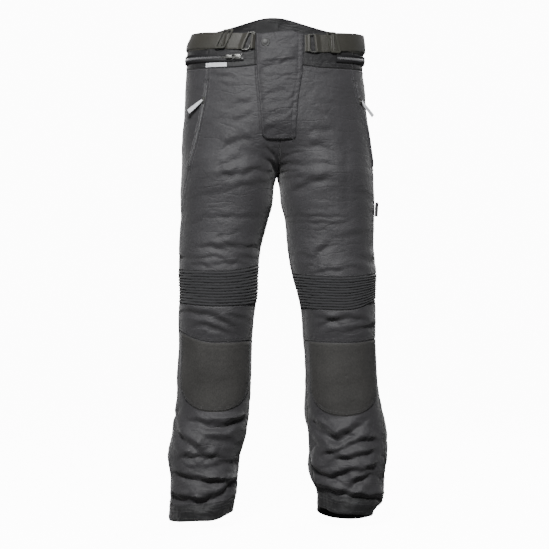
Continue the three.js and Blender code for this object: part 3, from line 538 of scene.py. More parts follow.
def cloth(side, share, z, lift=0.0, seams=True):
    """Points and directions out of the cloth's outer face, moved out by lift."""
    side, share, z = (np.array(value, float) for value in np.broadcast_arrays(side, share, z))
    point, normal = form_point(side, share, z), form_normal(side, share, z)
    to_side = (share - side_seam(side, z)) * HALF_ROUND
    to_inner = np.minimum(np.abs(share - inseam(z)), np.abs(share - back_inseam(z))) * HALF_ROUND
    in_front = smooth(0.5 - to_side / 34)
    x = point[..., 0]
    folds = in_front * fold_height(x, z, FRONT_FOLDS, 5)
    folds = folds + (1 - in_front) * fold_height(x, z, BACK_FOLDS, 9)
    calm = calm_zone(side, share, point, to_side > 0)
    patch = 0.55 + 0.45 * ripple(point, 31, 120, 260, 0.9, 5)
    slack = mix(0.55, 1.25, smooth((-600 - z) / 170) + 0.5 * smooth(1 - np.abs(z + 430) / 60))
    crumple = 0.42 * ripple(point, 11, 18, 50, 0.45) * patch + 0.14 * ripple(point, 17, 7, 13, 0.8)
    crumple = slack * (crumple + 1.2 * creases(point, 61, 20, 48, 0.42))
    low_folds = smooth((-700 - z) / 90)
    crumple = crumple + 2.4 * low_folds * creases(point, 83, 26, 60, 0.75, 0.16, 5)
    broad = mix(0.8, 2.4, smooth((-690 - z) / 110)) * ripple(point, 71, 60, 150, 0.75, 6)
    folds = folds + broad * smooth((-60 - z) / 40)
    height = calm * smooth(to_inner / 24) * folds + (0.2 + 0.8 * calm) * crumple
    for distance, allowance in ((np.abs(to_side), 0.55), (to_inner, 0.4)) if seams else ():
        raised = np.where((distance is to_inner) | (to_side < 0), allowance, 0.0)
        pucker = 0.3 * np.sin(z / 1.35 + 2.5 * np.sin(z / 21)) * np.exp(-(((distance - 4) / 5) ** 2))
        height = height + seam_relief(distance, raised) + pucker * (0.6 + 0.4 * np.sin(z / 37))
    if seams:
        height = height - beside_fly(x, z)
    return point + normal * (height + lift)[..., None], normal


def beside_fly(x, z):
    """How far the cloth sinks along the free edges of the fly flap."""
    bottom = FLY_EDGES["z"][-1]
    from_free = x - at(FLY_EDGES, "free", z)
    along = 1.8 * np.exp(-(((from_free + 1.6) / 1.9) ** 2)) * smooth((z - bottom) / 10 - 0.6)
    inside = smooth((x - at(FLY_EDGES, "free", bottom)) / 12 - 0.6)
    inside = inside * smooth((at(FLY_EDGES, "sewn", bottom) - x) / 6)
    return along + 1.8 * np.exp(-(((z - bottom + 1.8) / 1.9) ** 2)) * inside


def through(heights, part):
    """Runs smoothly from the inner edge, part 0, through the middle to the outer edge."""
    outer, middle, inner = heights
    outwards = mix(middle, outer, smooth(2 * part - 1))
    return np.where(part > 0.5, outwards, mix(inner, middle, smooth(2 * part)))


def line_of(side, name):
    return lambda part: through(OUTLINES[side][name], part)


def waist_top(share):
    front = mix(25, 31, smooth(2 * share))
    return np.where(share < 0.5, front, mix(31, 80, smooth(2 * share - 1)))


def waist_seam(share):
    front = mix(-36, -46, smooth(4 * share))
    return np.where(share < 0.5, front, mix(-46, 80 - WAISTBAND, smooth(2 * share - 1)))


def hem_height(side, share):
    outline = OUTLINES[side]["hem"]
    front = through(outline, np.clip((share - INSEAM_LOW) / (SIDE_LOW - INSEAM_LOW), 0, 1))
    around = np.clip((share - SIDE_LOW) / (1 + INSEAM_LOW - SIDE_LOW), 0, 1)
    back = mix(outline[0], outline[2], around) - HEM_DROP[side] * np.sin(np.pi * around)
    return np.where(share <= SIDE_LOW, front, back)


# Meshes


def outward(points, faces):
    """The faces of a closed mesh, turned to point out."""
    a, b, c = (points[faces[:, k]] for k in range(3))
    volume = np.einsum("ij,ij->", a, np.cross(b, c))
    if faces.shape[1] == 4:
        volume += np.einsum("ij,ij->", a, np.cross(c, points[faces[:, 3]]))
    return faces if volume > 0 else faces[:, ::-1]


def shell(outer, inner, closed=False):
    """A closed skin between two grids of points; closed joins its first and last columns."""
    rows, columns = outer.shape[:2]
    points = np.concatenate([outer.reshape(-1, 3), inner.reshape(-1, 3)])
    index = np.arange(rows * columns).reshape(rows, columns)
    if closed:
        index = np.concatenate([index, index[:, :1]], axis=1)
    under = index + rows * columns
    quads = [
        np.stack([index[:-1, :-1], index[:-1, 1:], index[1:, 1:], index[1:, :-1]], axis=-1),
        np.stack([under[1:, :-1], under[1:, 1:], under[:-1, 1:], under[:-1, :-1]], axis=-1),
        np.stack([under[0, :-1], under[0, 1:], index[0, 1:], index[0, :-1]], axis=-1),
        np.stack([index[-1, :-1], index[-1, 1:], under[-1, 1:], under[-1, :-1]], axis=-1),
    ]
    if not closed:
        quads.append(np.stack([index[:-1, 0], index[1:, 0], under[1:, 0], under[:-1, 0]], axis=-1))
        quads.append(np.stack([under[:-1, -1], under[1:, -1], index[1:, -1], index[:-1, -1]], axis=-1))
    return points, np.concatenate([q.reshape(-1, 4) for q in quads])


def piece(name, points, faces, slot, body=GARMENT, replaces=(), uv=None, sharp=55):
    """A mesh from points in millimetres, riding on a body, in place of the nodes it replaces."""
    mesh = bpy.data.meshes.new(name)
    mesh.from_pydata((points * MM).tolist(), [], outward(points, faces).tolist())
    mesh.polygons.foreach_set("use_smooth", np.ones(len(mesh.polygons), bool))
    mesh.set_sharp_from_angle(angle=math.radians(sharp))
    if uv is not None:
        corners = np.empty(len(mesh.loops), np.int32)
        mesh.loops.foreach_get("vertex_index", corners)
        mesh.uv_layers.new(name="weave").data.foreach_set("uv", (uv[corners] * MM).ravel())
    mesh.materials.append(MATERIALS[slot])
    obj = bpy.data.objects.new(name, mesh)
    bpy.context.scene.collection.objects.link(obj)
    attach(obj, body)
    if replaces:
        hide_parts(*replaces)
    return obj


def spans(grid, closed=False):
    """The longest way across and up a grid of points, and its area, in metres."""
    if closed:
        grid = np.concatenate([grid, grid[:, :1]], axis=1)
    across = np.linalg.norm(np.diff(grid, axis=1), axis=-1).sum(axis=1)
    up = np.linalg.norm(np.diff(grid, axis=0), axis=-1).sum(axis=0)
    sides = np.cross(grid[1:, 1:] - grid[:-1, :-1], grid[1:, :-1] - grid[:-1, 1:])
    area = np.linalg.norm(sides, axis=-1).sum() / 2
    return across.max() * MM, up.max() * MM, area * MM * MM


def gone_along(grid, axis):
    """How far each column, or row, of a grid of points is from the first, on average."""
    lengths = np.linalg.norm(np.diff(grid, axis=axis), axis=-1).mean(axis=1 - axis)
    return np.concatenate([[0], np.cumsum(lengths)])


def declare_cut(grid, closed=False):
    """Works out the flat size of a cut piece, rounded up to whole millimetres; nothing is kept or returned.
    """
    wide, long, area = spans(grid, closed)
    wide, long = math.ceil(wide * 1000) / 1000, math.ceil(long * 1000) / 1000


def sheet(name, outer, normals, slot, thick=WALL, closed=False):
    """A cut piece of cloth: a thin skin whose outer face is the grid."""
    inner = outer - normals * (np.ones(outer.shape[:2]) * thick)[..., None]
    points, faces = shell(outer, inner, closed)
    u, v = np.meshgrid(gone_along(outer, 1), gone_along(outer, 0))
    uv = np.stack([u, v], axis=-1).reshape(-1, 2)
    obj = piece(f"{name}_cloth", points, faces, slot, replaces=(name,), uv=np.concatenate([uv, uv]))
    declare_cut(outer, closed)
    return obj


def steps(length, pitch=PITCH, edge=(0.0, 0.6, 1.3, 2.2, 3.6)):
    """Shares from 0 to 1 of a length in millimetres, closer together at both ends."""
    count = max(2, round((length - 2 * edge[-1]) / pitch) + 1)
    middle = np.linspace(edge[-1], length - edge[-1], count)
    ends = np.array(edge[:-1])
    return np.concatenate([ends, middle, length - ends[::-1]]) / length


def grid(wide, high, pitch=PITCH):
    return np.meshgrid(steps(wide, pitch), steps(high, pitch))


# Materials


class Nodes:
    """A few helpers for building one procedural material."""

    def __init__(self, name):
        self.material = bpy.data.materials.new(name)
        self.material.use_nodes = True
        self.tree = self.material.node_tree
        self.shader = self.tree.nodes["Principled BSDF"]

    def new(self, kind, inputs=(), **settings):
        node = self.tree.nodes.new(kind)
        for key, value in settings.items():
            setattr(node, key, value)
        for key, value in dict(inputs).items():
            if isinstance(value, bpy.types.NodeSocket):
                self.tree.links.new(value, node.inputs[key])
            else:
                node.inputs[key].default_value = value
        return node

    def noise(self, scale, detail=3.0, where=None, roughness=0.5):
        inputs = {"Scale": scale, "Detail": detail, "Roughness": roughness, "Vector": where or self.place()}
        return self.new("ShaderNodeTexNoise", inputs).outputs["Fac"]

    def crease_lines(self, scale, sharp):
        """Valleys of thin wandering lines, closer together where the scale is larger."""
        where = self.new("ShaderNodeMapping", {"Vector": self.place(), "Scale": scale}).outputs["Vector"]
        off = self.math("ABSOLUTE", self.math("SUBTRACT", self.noise(1.0, 2, where), 0.5))
        return self.math("MULTIPLY", self.math("MINIMUM", off, sharp), 1 / sharp)

    def place(self):
        return self.new("ShaderNodeTexCoord").outputs["Object"]

    def woven(self):
        return self.new("ShaderNodeUVMap", uv_map="weave").outputs["UV"]

    def math(self, operation, a, b=0.0):
        return self.new("ShaderNodeMath", {0: a, 1: b}, operation=operation).outputs[0]

    def span(self, value, low, high):
        inputs = {"Value": value, "To Min": low, "To Max": high}
        return self.new("ShaderNodeMapRange", inputs).outputs["Result"]

    def wave(self, pitch, direction, distort=0.0):
        """Bands of threads that lie a pitch in millimetres apart."""
        inputs = {"Scale": 1 / (pitch * MM) / 6.283, "Distortion": distort, "Vector": self.woven()}
        node = self.new("ShaderNodeTexWave", inputs, wave_type="BANDS", bands_direction=direction)
        return node.outputs["Fac"]

    def tint(self, colour, factor):
        """A colour made darker or lighter by a factor that varies over the surface."""
        inputs = {"Factor": 1.0, 6: (*colour, 1.0)}
        node = self.new("ShaderNodeMix", inputs, data_type="RGBA", blend_type="MULTIPLY")
        grey = self.new("ShaderNodeCombineColor", {"Red": factor, "Green": factor, "Blue": factor})
        self.tree.links.new(grey.outputs[0], node.inputs[7])
        return node.outputs[2]

    def bump(self, height, distance, strength=1.0, onto=None):
        inputs = {"Height": height, "Distance": distance, "Strength": strength}
        if onto is not None:
            inputs["Normal"] = onto
        return self.new("ShaderNodeBump", inputs).outputs["Normal"]

    def shade(self, **inputs):
        for key, value in inputs.items():
            socket = self.shader.inputs[key.replace("_", " ")]
            if isinstance(value, bpy.types.NodeSocket):
                self.tree.links.new(value, socket)
            else:
                socket.default_value = value
        return self.material


def cloth_material(name, colour, thread=0.55, rough=0.6, sheen=0.25, depth=0.00012, mottle=0.16,
                   creased=0.4):
    """Plain weave: threads a little over half a millimetre apart, mottled and slightly worn."""
    nodes = Nodes(name)
    weave = nodes.math("MULTIPLY", nodes.wave(thread, "X", 0.4), nodes.wave(thread, "Y", 0.4))
    cloud, fine = nodes.noise(14, 4), nodes.noise(420, 2)
    tone = nodes.span(cloud, -mottle, mottle)
    tone = nodes.math("ADD", tone, nodes.span(fine, -mottle * 0.7, mottle * 0.7))
    tone = nodes.math("ADD", tone, nodes.span(weave, 0.92, 1.1))
    normal = nodes.bump(weave, depth, 0.6)
    normal = nodes.bump(nodes.noise(95, 4, roughness=0.6), 0.0018, 0.6, normal)
    normal = nodes.bump(nodes.crease_lines((24, 24, 62), 0.05), 0.0004, creased, normal)
    normal = nodes.bump(nodes.crease_lines((9, 9, 30), 0.035), 0.0009, creased, normal)
    return nodes.shade(
        Base_Color=nodes.tint(colour, tone),
        Roughness=nodes.span(cloud, rough - 0.06, rough + 0.08),
        Normal=normal,
        Sheen_Weight=sheen,
        Sheen_Roughness=0.45,
        Specular_IOR_Level=0.42,
    )


def webbing_material():
    """Close ribs across the strap, with a herringbone of fine threads."""
    nodes = Nodes("woven_webbing")
    threads = nodes.math("MULTIPLY", nodes.wave(0.8, "DIAGONAL", 0.3), 0.5)
    height = nodes.math("ADD", nodes.wave(1.5, "Y", 0.2), threads)
    mottle = nodes.span(nodes.noise(60, 3), -0.15, 0.15)
    tone = nodes.math("ADD", nodes.span(height, 0.7, 1.25), mottle)
    return nodes.shade(
        Base_Color=nodes.tint((0.024, 0.023, 0.018), tone),
        Roughness=nodes.span(nodes.noise(90, 2), 0.46, 0.62),
        Normal=nodes.bump(height, 0.00022, 0.8),
        Sheen_Weight=0.15,
        Specular_IOR_Level=0.45,
    )


def stretch_material():
    """Matt knit with fine wales that run up the knee."""
    nodes = Nodes("stretch_rib")
    wales = nodes.wave(1.1, "X", 0.6)
    mottle = nodes.span(nodes.noise(160, 3), -0.16, 0.16)
    tone = nodes.math("ADD", nodes.span(wales, 0.85, 1.12), mottle)
    normal = nodes.bump(wales, 0.0002, 0.6)
    return nodes.shade(
        Base_Color=nodes.tint((0.024, 0.024, 0.026), tone),
        Roughness=0.8,
        Normal=nodes.bump(nodes.noise(260, 3), 0.0005, 0.5, normal),
        Sheen_Weight=0.2,
        Sheen_Roughness=0.5,
        Specular_IOR_Level=0.3,
    )


def tape_material():
    nodes = Nodes("zip_tape")
    weave = nodes.noise(900, 2)
    tone = nodes.span(weave, 0.6, 1.4)
    return nodes.shade(
        Base_Color=nodes.tint((0.006, 0.006, 0.007), tone),
        Roughness=nodes.span(nodes.noise(70), 0.5, 0.7),
        Normal=nodes.bump(weave, 0.0002, 0.5),
    )


def metal_material():
    """Dull dark nickel, brighter where it is rubbed."""
    nodes = Nodes("dull_nickel")
    rubbed = nodes.noise(150, 5, roughness=0.65)
    scratches = nodes.noise(1400, 2)
    return nodes.shade(
        Base_Color=nodes.tint((0.12, 0.12, 0.115), nodes.span(rubbed, 0.7, 1.25)),
        Metallic=0.85,
        Roughness=nodes.span(rubbed, 0.55, 0.34),
        Normal=nodes.bump(scratches, 0.00006, 0.4),
    )


def snap_material():
    """Black oxide, rubbed at its rim."""
    nodes = Nodes("black_oxide")
    rubbed = nodes.noise(260, 4)
    return nodes.shade(
        Base_Color=nodes.tint((0.03, 0.03, 0.03), nodes.span(rubbed, 0.7, 1.4)),
        Metallic=0.5,
        Roughness=nodes.span(rubbed, 0.6, 0.42),
        Normal=nodes.bump(rubbed, 0.00008, 0.4),
    )


def buckle_material():
    nodes = Nodes("moulded_plastic")
    grain = nodes.noise(1600, 3)
    worn = nodes.noise(120, 4)
    return nodes.shade(
        Base_Color=nodes.tint((0.042, 0.042, 0.036), nodes.span(worn, 0.8, 1.25)),
        Roughness=nodes.span(worn, 0.26, 0.4),
        Normal=nodes.bump(grain, 0.00008, 0.5),
    )


def reflective_material():
    """Pale film over a fine honeycomb of beads."""
    nodes = Nodes("pale_film")
    cells = nodes.new("ShaderNodeTexVoronoi", {"Scale": 900.0, "Vector": nodes.place()}).outputs["Distance"]
    rubbed = nodes.noise(200, 4)
    return nodes.shade(
        Base_Color=nodes.tint((0.72, 0.73, 0.76), nodes.span(rubbed, 0.82, 1.1)),
        Roughness=nodes.span(rubbed, 0.3, 0.48),
        Metallic=0.15,
        Normal=nodes.bump(cells, 0.00012, 0.5),
    )


def thread_material():
    nodes = Nodes("thread")
    twist = nodes.noise(2200, 2)
    return nodes.shade(
        Base_Color=nodes.tint((0.045, 0.045, 0.048), nodes.span(twist, 0.7, 1.3)),
        Roughness=0.5,
        Normal=nodes.bump(twist, 0.0001, 0.6),
        Sheen_Weight=0.2,
    )


def teeth_material():
    """Moulded zip teeth, a little paler than their tape."""
    nodes = Nodes("zip_teeth")
    worn = nodes.noise(700, 3)
    return nodes.shade(
        Base_Color=nodes.tint((0.15, 0.15, 0.155), nodes.span(worn, 0.7, 1.3)),
        Roughness=nodes.span(worn, 0.28, 0.45),
        Normal=nodes.bump(worn, 0.00006, 0.5),
    )


MATERIALS = {
    "shell_cloth": cloth_material("shell_nylon", (0.034, 0.033, 0.036)),
    "shield_cloth": cloth_material(
        "shield_nylon", (0.038, 0.037, 0.035), thread=1.1, rough=0.78, sheen=0.1, depth=0.00045, mottle=0.5,
        creased=0.06,
    ),
    "stretch_cloth": stretch_material(),
    "webbing": webbing_material(),
    "zip_dark": tape_material(),
    "metal": metal_material(),
    "buckle": buckle_material(),
    "reflective": reflective_material(),
}
THREAD = thread_material()
TEETH = teeth_material()
SNAP = snap_material()
# The waistband: a darker band cloth, darkened further with painted shade from the straps over it
BAND_CLOTH_PAINTED_SHADE = cloth_material("band_nylon_painted_shade", (0.008, 0.008, 0.009))
# Shell nylon darkened for the hem cuffs: painted shade where the light falls off towards the hems
CUFF_CLOTH_PAINTED_SHADE = cloth_material("cuff_nylon_painted_shade", (0.01, 0.01, 0.011))
# Shell nylon darkened for the fly flap: painted shade of the dim waist zone
FLY_CLOTH_PAINTED_SHADE = cloth_material("fly_nylon_painted_shade", (0.024, 0.023, 0.026))
# Shell nylon darkened for the back calf panels: painted shade of the back of the leg, turned from the light
CALF_CLOTH_PAINTED_SHADE = cloth_material("calf_nylon_painted_shade", (0.019, 0.019, 0.02))


# Small repeated things along a line on the cloth: stitches and zip teeth


def between(places, known, rows):
    """Rows of three values each, read off at places between the known ones."""
    return np.stack([np.interp(places, known, rows[:, k]) for k in range(3)], axis=-1)


def places_along(points, out, pitch):
    """Evenly spaced places on a line of points, with the way along it and out of it."""
    gone = np.concatenate([[0], np.cumsum(np.linalg.norm(np.diff(points, axis=0), axis=-1))])
    wanted = np.arange(pitch / 2, gone[-1] - pitch / 2 + 0.01, pitch)
    ahead, behind = (between(wanted + off, gone, points) for off in (0.5, -0.5))
    part = wanted / gone[-1]
    normals = unit(between(part, np.linspace(0, 1, len(points)), out))
    return between(wanted, gone, points), unit(ahead - behind), normals, part


def lozenges(spot, along, out, long, wide, high):
    """Small rounded bars: eight ring points and two tips each."""
    side = unit(np.cross(out, along))
    out = np.cross(along, side)
    ring = []
    for end in (-0.32, 0.32):
        for a, b in ((0.5, 0), (0.28, 0.9), (-0.28, 0.9), (-0.5, 0)):
            ring.append(spot + along * long * end + side * wide * a + out * high * b)
    tips = [spot + along * long * end + out * high * 0.1 for end in (-0.5, 0.5)]
    points = np.stack(ring + tips, axis=1)
    quads = [(0, 1, 5, 4), (1, 2, 6, 5), (2, 3, 7, 6), (3, 0, 4, 7)]
    tris = [(8, 1, 0), (8, 2, 1), (8, 3, 2), (8, 0, 3), (9, 4, 5), (9, 5, 6), (9, 6, 7), (9, 7, 4)]
    faces = []
    for a, b, c, d in quads:
        faces += [(a, b, c), (a, c, d)]
    faces = np.array(faces + tris)
    count = len(spot)
    all_faces = faces[None] + (np.arange(count) * 10)[:, None, None]
    return points.reshape(-1, 3), all_faces.reshape(-1, 3)


def joined(parts):
    """Several meshes of triangles or quads as one."""
    points, faces, base = [], [], 0
    for part_points, part_faces in parts:
        if part_faces.shape[1] == 4:
            part_faces = np.concatenate([part_faces[:, [0, 1, 2]], part_faces[:, [0, 2, 3]]])
        points.append(part_points)
        faces.append(outward(part_points, part_faces) + base)
        base += len(part_points)
    return np.concatenate(points), np.concatenate(faces)


def stitching(name, lines, slot="shell_cloth", pitch=3.6, long=2.9, wide=0.75, high=0.42):
    """Rows of stitches joined into one piece; each line is points and directions out."""
    parts = []
    for points, out in lines:
        spot, along, normals, _ = places_along(points, out, pitch)
        parts.append(lozenges(spot, along, normals, long, wide, high))
    obj = piece(name, *joined(parts), slot, sharp=80)
    if slot != "reflective":
        obj.data.materials[0] = THREAD
    return obj


# Cut pieces


def parted(points, side):
    """Ends a half of the garment at the middle seam."""
    points[..., 0] = side * np.maximum(side * points[..., 0], -SEAM_LAP)
    return points


def level_with_crotch(bottom, top, v):
    """Heights with one row level with the crotch, and with the rows above it crowded towards it."""
    rows = len(v) - 1
    row = round(rows * float(np.mean((CROTCH_Z - bottom) / (top - bottom))))
    below = np.clip(v * rows / row, 0, 1)
    above = np.clip((v * rows - row) / (rows - row), 0, 1) ** CROTCH_CROWDING
    return np.where(v * rows <= row, mix(bottom, CROTCH_Z, below), mix(CROTCH_Z, top, above))


def panel(name, side, start, end, low, high, wide, tall, slot="shell_cloth", extra=None, held="hung",
          pitch=PITCH):
    """A cut piece between two seams round the leg and two heights."""
    u, v = grid(wide, tall, pitch)
    bottom, top = low(u) - SEAM_LAP, high(u) + SEAM_LAP
    passes_crotch = np.all(bottom < CROTCH_Z) and np.all(top > CROTCH_Z)
    z = level_with_crotch(bottom, top, v) if passes_crotch else mix(bottom, top, v)
    lap = SEAM_LAP / HALF_ROUND
    share = mix(start(z) - lap, end(z) + lap, u)
    lift = seam_relief(z - bottom) + seam_relief(top - z)
    if extra is not None:
        lift = lift + extra(u, v, z)
    points, normals = cloth(side, share, z, lift)
    if passes_crotch:
        middle = 0 if start is inseam else -1
        points[z[:, middle] >= CROTCH_Z, middle, 0] = -side * SEAM_LAP
    return sheet(name, parted(points, side), normals, slot)


def ribs(u, v, z):
    """The accordion: round ribs with sharp valleys, a little uneven along each."""
    turn = np.pi * RIB_COUNT * (v + 0.004 * np.sin(u * 9) + 0.003 * np.sin(u * 23 + 2))
    return RIB_HEIGHT * (1.25 * np.abs(np.sin(turn)) ** 0.7 - 0.25) * (0.9 + 0.1 * np.sin(u * 31 + v * 40))


def leg_panels(side):
    tag = TAGS[side]
    lines = {name: line_of(side, name) for name in OUTLINES[side]}
    seam = lambda z: side_seam(side, z)
    front = {"start": inseam, "end": seam}
    back = {"start": seam, "end": back_inseam}
    panel(
        f"front_thigh_{tag}", side, **front,
        low=lines["knee_top"], high=lambda u: waist_seam(u * seam(-40)), wide=270, tall=430,
    )
    panel(
        f"stretch_knee_{tag}", side, **front, low=lines["knee_bottom"], high=lines["knee_top"],
        wide=250, tall=72, slot="stretch_cloth", extra=ribs, held="gathered", pitch=1.35,
    )
    panel(
        f"knee_band_{tag}", side, **front, low=lines["band_bottom"], high=lines["knee_bottom"],
        wide=250, tall=72,
    )
    panel(
        f"shin_front_{tag}", side, **front,
        low=lambda u: hem_height(side, mix(INSEAM_LOW, seam(-940), u)) + CUFF,
        high=lines["band_bottom"], wide=250, tall=340,
    )
    panel(
        f"seat_back_{tag}", side, **back, low=lambda u: BACK_KNEE_Z + 0 * u,
        high=lambda u: waist_seam(mix(seam(0), 1, u)), wide=310, tall=490, pitch=3.4,
    )
    calf = panel(
        f"back_calf_{tag}", side, **back,
        low=lambda u: hem_height(side, mix(seam(-940), 1 + INSEAM_LOW, u)) + CUFF,
        high=lambda u: BACK_KNEE_Z + 0 * u, wide=300, tall=440, pitch=3.4,
    )
    # the back calf gets the darker cloth: painted shade
    calf.data.materials[0] = CALF_CLOTH_PAINTED_SHADE


def shield_spot(side, u, v):
    """Share and height of a place on a shin shield, and the heights of its edges there."""
    sides, bottom = SHIELDS[side]["sides"], SHIELDS[side]["bottom"]
    column = (1 + u * 7) / 9
    top = through(OUTLINES[side]["band_bottom"], column) - 1
    low = sides - (sides - bottom) * np.sqrt(np.maximum(0, 1 - (2 * u - 1) ** 2))
    z = mix(low, top, v)
    return shield_share(side, u, z), z, low, top


def shield_share(side, u, z):
    return mix(inseam(z), side_seam(side, z), (1 + u * 7) / 9)


def shield(side):
    """The shin shield: heavier cloth with a round bottom, double stitched to the shin."""
    tag = TAGS[side]
    u, v = grid(200, 145, 2.6)
    share, z, low, top = shield_spot(side, u, v)
    edge = np.minimum(np.minimum(u, 1 - u) * SHIELD_WIDE, np.minimum(z - low, top - z))
    rounded = 1.7 * smooth(edge / 3.4)
    sag = 0.5 * np.sin((z + 5 * np.sin(u * 7)) / 11) + 0.6 * np.sin(u * 8 + z / 40)
    puff = 1.6 * smooth(edge / 40) + sag * smooth(edge / 22)
    stitched = sum(-0.45 * np.exp(-(((edge - inset) / 1.1) ** 2)) for inset in SHIELD_STITCHES)
    points, normals = cloth(side, share, z, 0.6 + rounded + puff + stitched, seams=False)
    sheet(
        f"shin_shield_{tag}", points, normals, "shield_cloth", thick=0.35 + rounded + 0.2 * puff,
    )
    rows = []
    for inset in SHIELD_STITCHES:
        near, far = inset / SHIELD_WIDE, 1 - inset / SHIELD_WIDE
        u_line = np.linspace(near, far, 90)
        z = shield_spot(side, u_line, 0 * u_line)[1] + inset
        rows.append(cloth(side, shield_share(side, u_line, z), z, 2.35, seams=False))
        for u_side in (near, far):
            share, z, _, _ = shield_spot(side, u_side, np.linspace(0.02, 0.97, 60))
            rows.append(cloth(side, share, z, 2.35, seams=False))
    stitching(f"shield_stitches_{tag}", rows, "shield_cloth")


def hem_cuff(side):
    """The cuff: a closed ring turned up at the hem and stitched twice."""
    tag = TAGS[side]
    turn = np.linspace(0, 1, 190, endpoint=False)
    u, v = np.meshgrid(turn, steps(CUFF, 2.4))
    share = INSEAM_LOW + u
    low = hem_height(side, share)
    z = mix(low, low + CUFF + SEAM_LAP, v)
    up = v * CUFF
    relief = seam_relief(CUFF - up) - 1.3 * np.exp(-((up / 1.5) ** 2))
    for row, deep in zip(CUFF_ROWS, (0.4, 0.5)):
        relief = relief - deep * np.exp(-(((up - row) / 1.3) ** 2))
    pucker = 0.2 * np.sin(u * 2 * np.pi * 34 + 3 * np.sin(u * 22))
    pucker = pucker * smooth(up / 12) * smooth((40 - up) / 16)
    sway = 1.2 * np.sin(u * 2 * np.pi * 7 + 1.3 * np.sin(u * 2 * np.pi * 3)) * smooth((CUFF - up) / 26)
    points, normals = cloth(side, share, z, relief + pucker + sway)
    cuff = sheet(f"hem_cuff_{tag}", points, normals, "shell_cloth", closed=True)
    # the cuff gets the darker cloth: painted shade
    cuff.data.materials[0] = CUFF_CLOTH_PAINTED_SHADE


def band_relief(up, down):
    """The waistband's edges: its turned top and the groove of its seam."""
    stitched = -0.35 * np.exp(-(((down - 5) / 1.2) ** 2))
    return -1.2 * np.exp(-((down / 1.4) ** 2)) + seam_relief(up, 0.5) + stitched


def waistband():
    for side in (-1, 1):
        tag = TAGS[side]
        u, v = grid(270, 70, 2.6)
        low = waist_seam(u * side_seam(side, -40)) - SEAM_LAP
        high = waist_top(u * side_seam(side, 30))
        z = mix(low, high, v)
        lap = SEAM_LAP / HALF_ROUND
        share = mix(inseam(z) - lap, side_seam(side, z) + lap, u)
        points, normals = cloth(side, share, z, band_relief(z - low, high - z))
        band = sheet(f"waistband_front_{tag}", parted(points, side), normals, "shell_cloth")
        # darker band cloth, partly painted shade from the straps
        band.data.materials[0] = BAND_CLOTH_PAINTED_SHADE
    u, v = grid(640, 70, 2.8)
    side = np.where(u < 0.5, -1.0, 1.0)
    part = 1 - np.abs(2 * u - 1)
    low = waist_seam(mix(side_seam(side, 0), 1, part)) - SEAM_LAP
    high = waist_top(mix(side_seam(side, 30), 1, part))
    z = mix(low, high, v)
    share = mix(side_seam(side, z), 1.0, part)
    form, normals = form_point(side, share, z), form_normal(side, share, z)
    to_side = (share - side_seam(side, z)) * HALF_ROUND
    relief = band_relief(z - low, high - z) + seam_relief(to_side)
    relief = relief + 0.5 * ripple(form, 41, 18, 46, 0.5) + 0.7 * ripple(form, 43, 60, 120, 0.8, 5)
    band = sheet("waistband_back", form + normals * relief[..., None], normals, "shell_cloth")
    # darker band cloth, partly painted shade of the waist zone
    band.data.materials[0] = BAND_CLOTH_PAINTED_SHADE


def fly_spot(u, v):
    bottom = FLY_EDGES["z"][-1]
    peak = FLY_PEAK * smooth(u / 0.75) * smooth((1 - u) / 0.25)
    z = mix(bottom, waist_top(0.0) - 0.5 + peak, v)
    into = np.clip(1 - (z - bottom) / FLY_CORNER, 0, 1)
    cut = FLY_CORNER * (1 - np.sqrt(1 - into**2))
    x = mix(at(FLY_EDGES, "free", z) + cut, at(FLY_EDGES, "sewn", z), u)
    return x, z


# Creases of the fly flap, like those of the front
FLY_FOLDS = table(
    ("x1", "z1", "x2", "z2", "bow", "deep", "wide", "ridge"),
    (-2, -39, 31, -29, 2, 1.0, 3.4, 1.1),
    (6, -64, 35, -63, 1, 0.9, 3.2, 1.0),
    (8, -72, 36, -73, 0, 0.6, 3, 0.7),
    (-28, -104, 12, -97, 6, 0.9, 5, 1.0),
    (20, -112, 32, -96, 0, 0.9, 3.2, 0.9),
    (18, -132, 30, -116, 0, 0.9, 3.2, 0.9),
    (16, -152, 27, -138, 0, 0.8, 3.2, 0.9),
    (-30, -150, 8, -142, 4, 0.7, 6, 0.8),
    (-34, -176, 4, -170, 3, 0.6, 5, 0.7),
    (-40, -52, -8, -44, 3, 0.7, 5, 0.8),
    (10, 8, 40, 16, 2, 0.6, 5, 0.7),
)


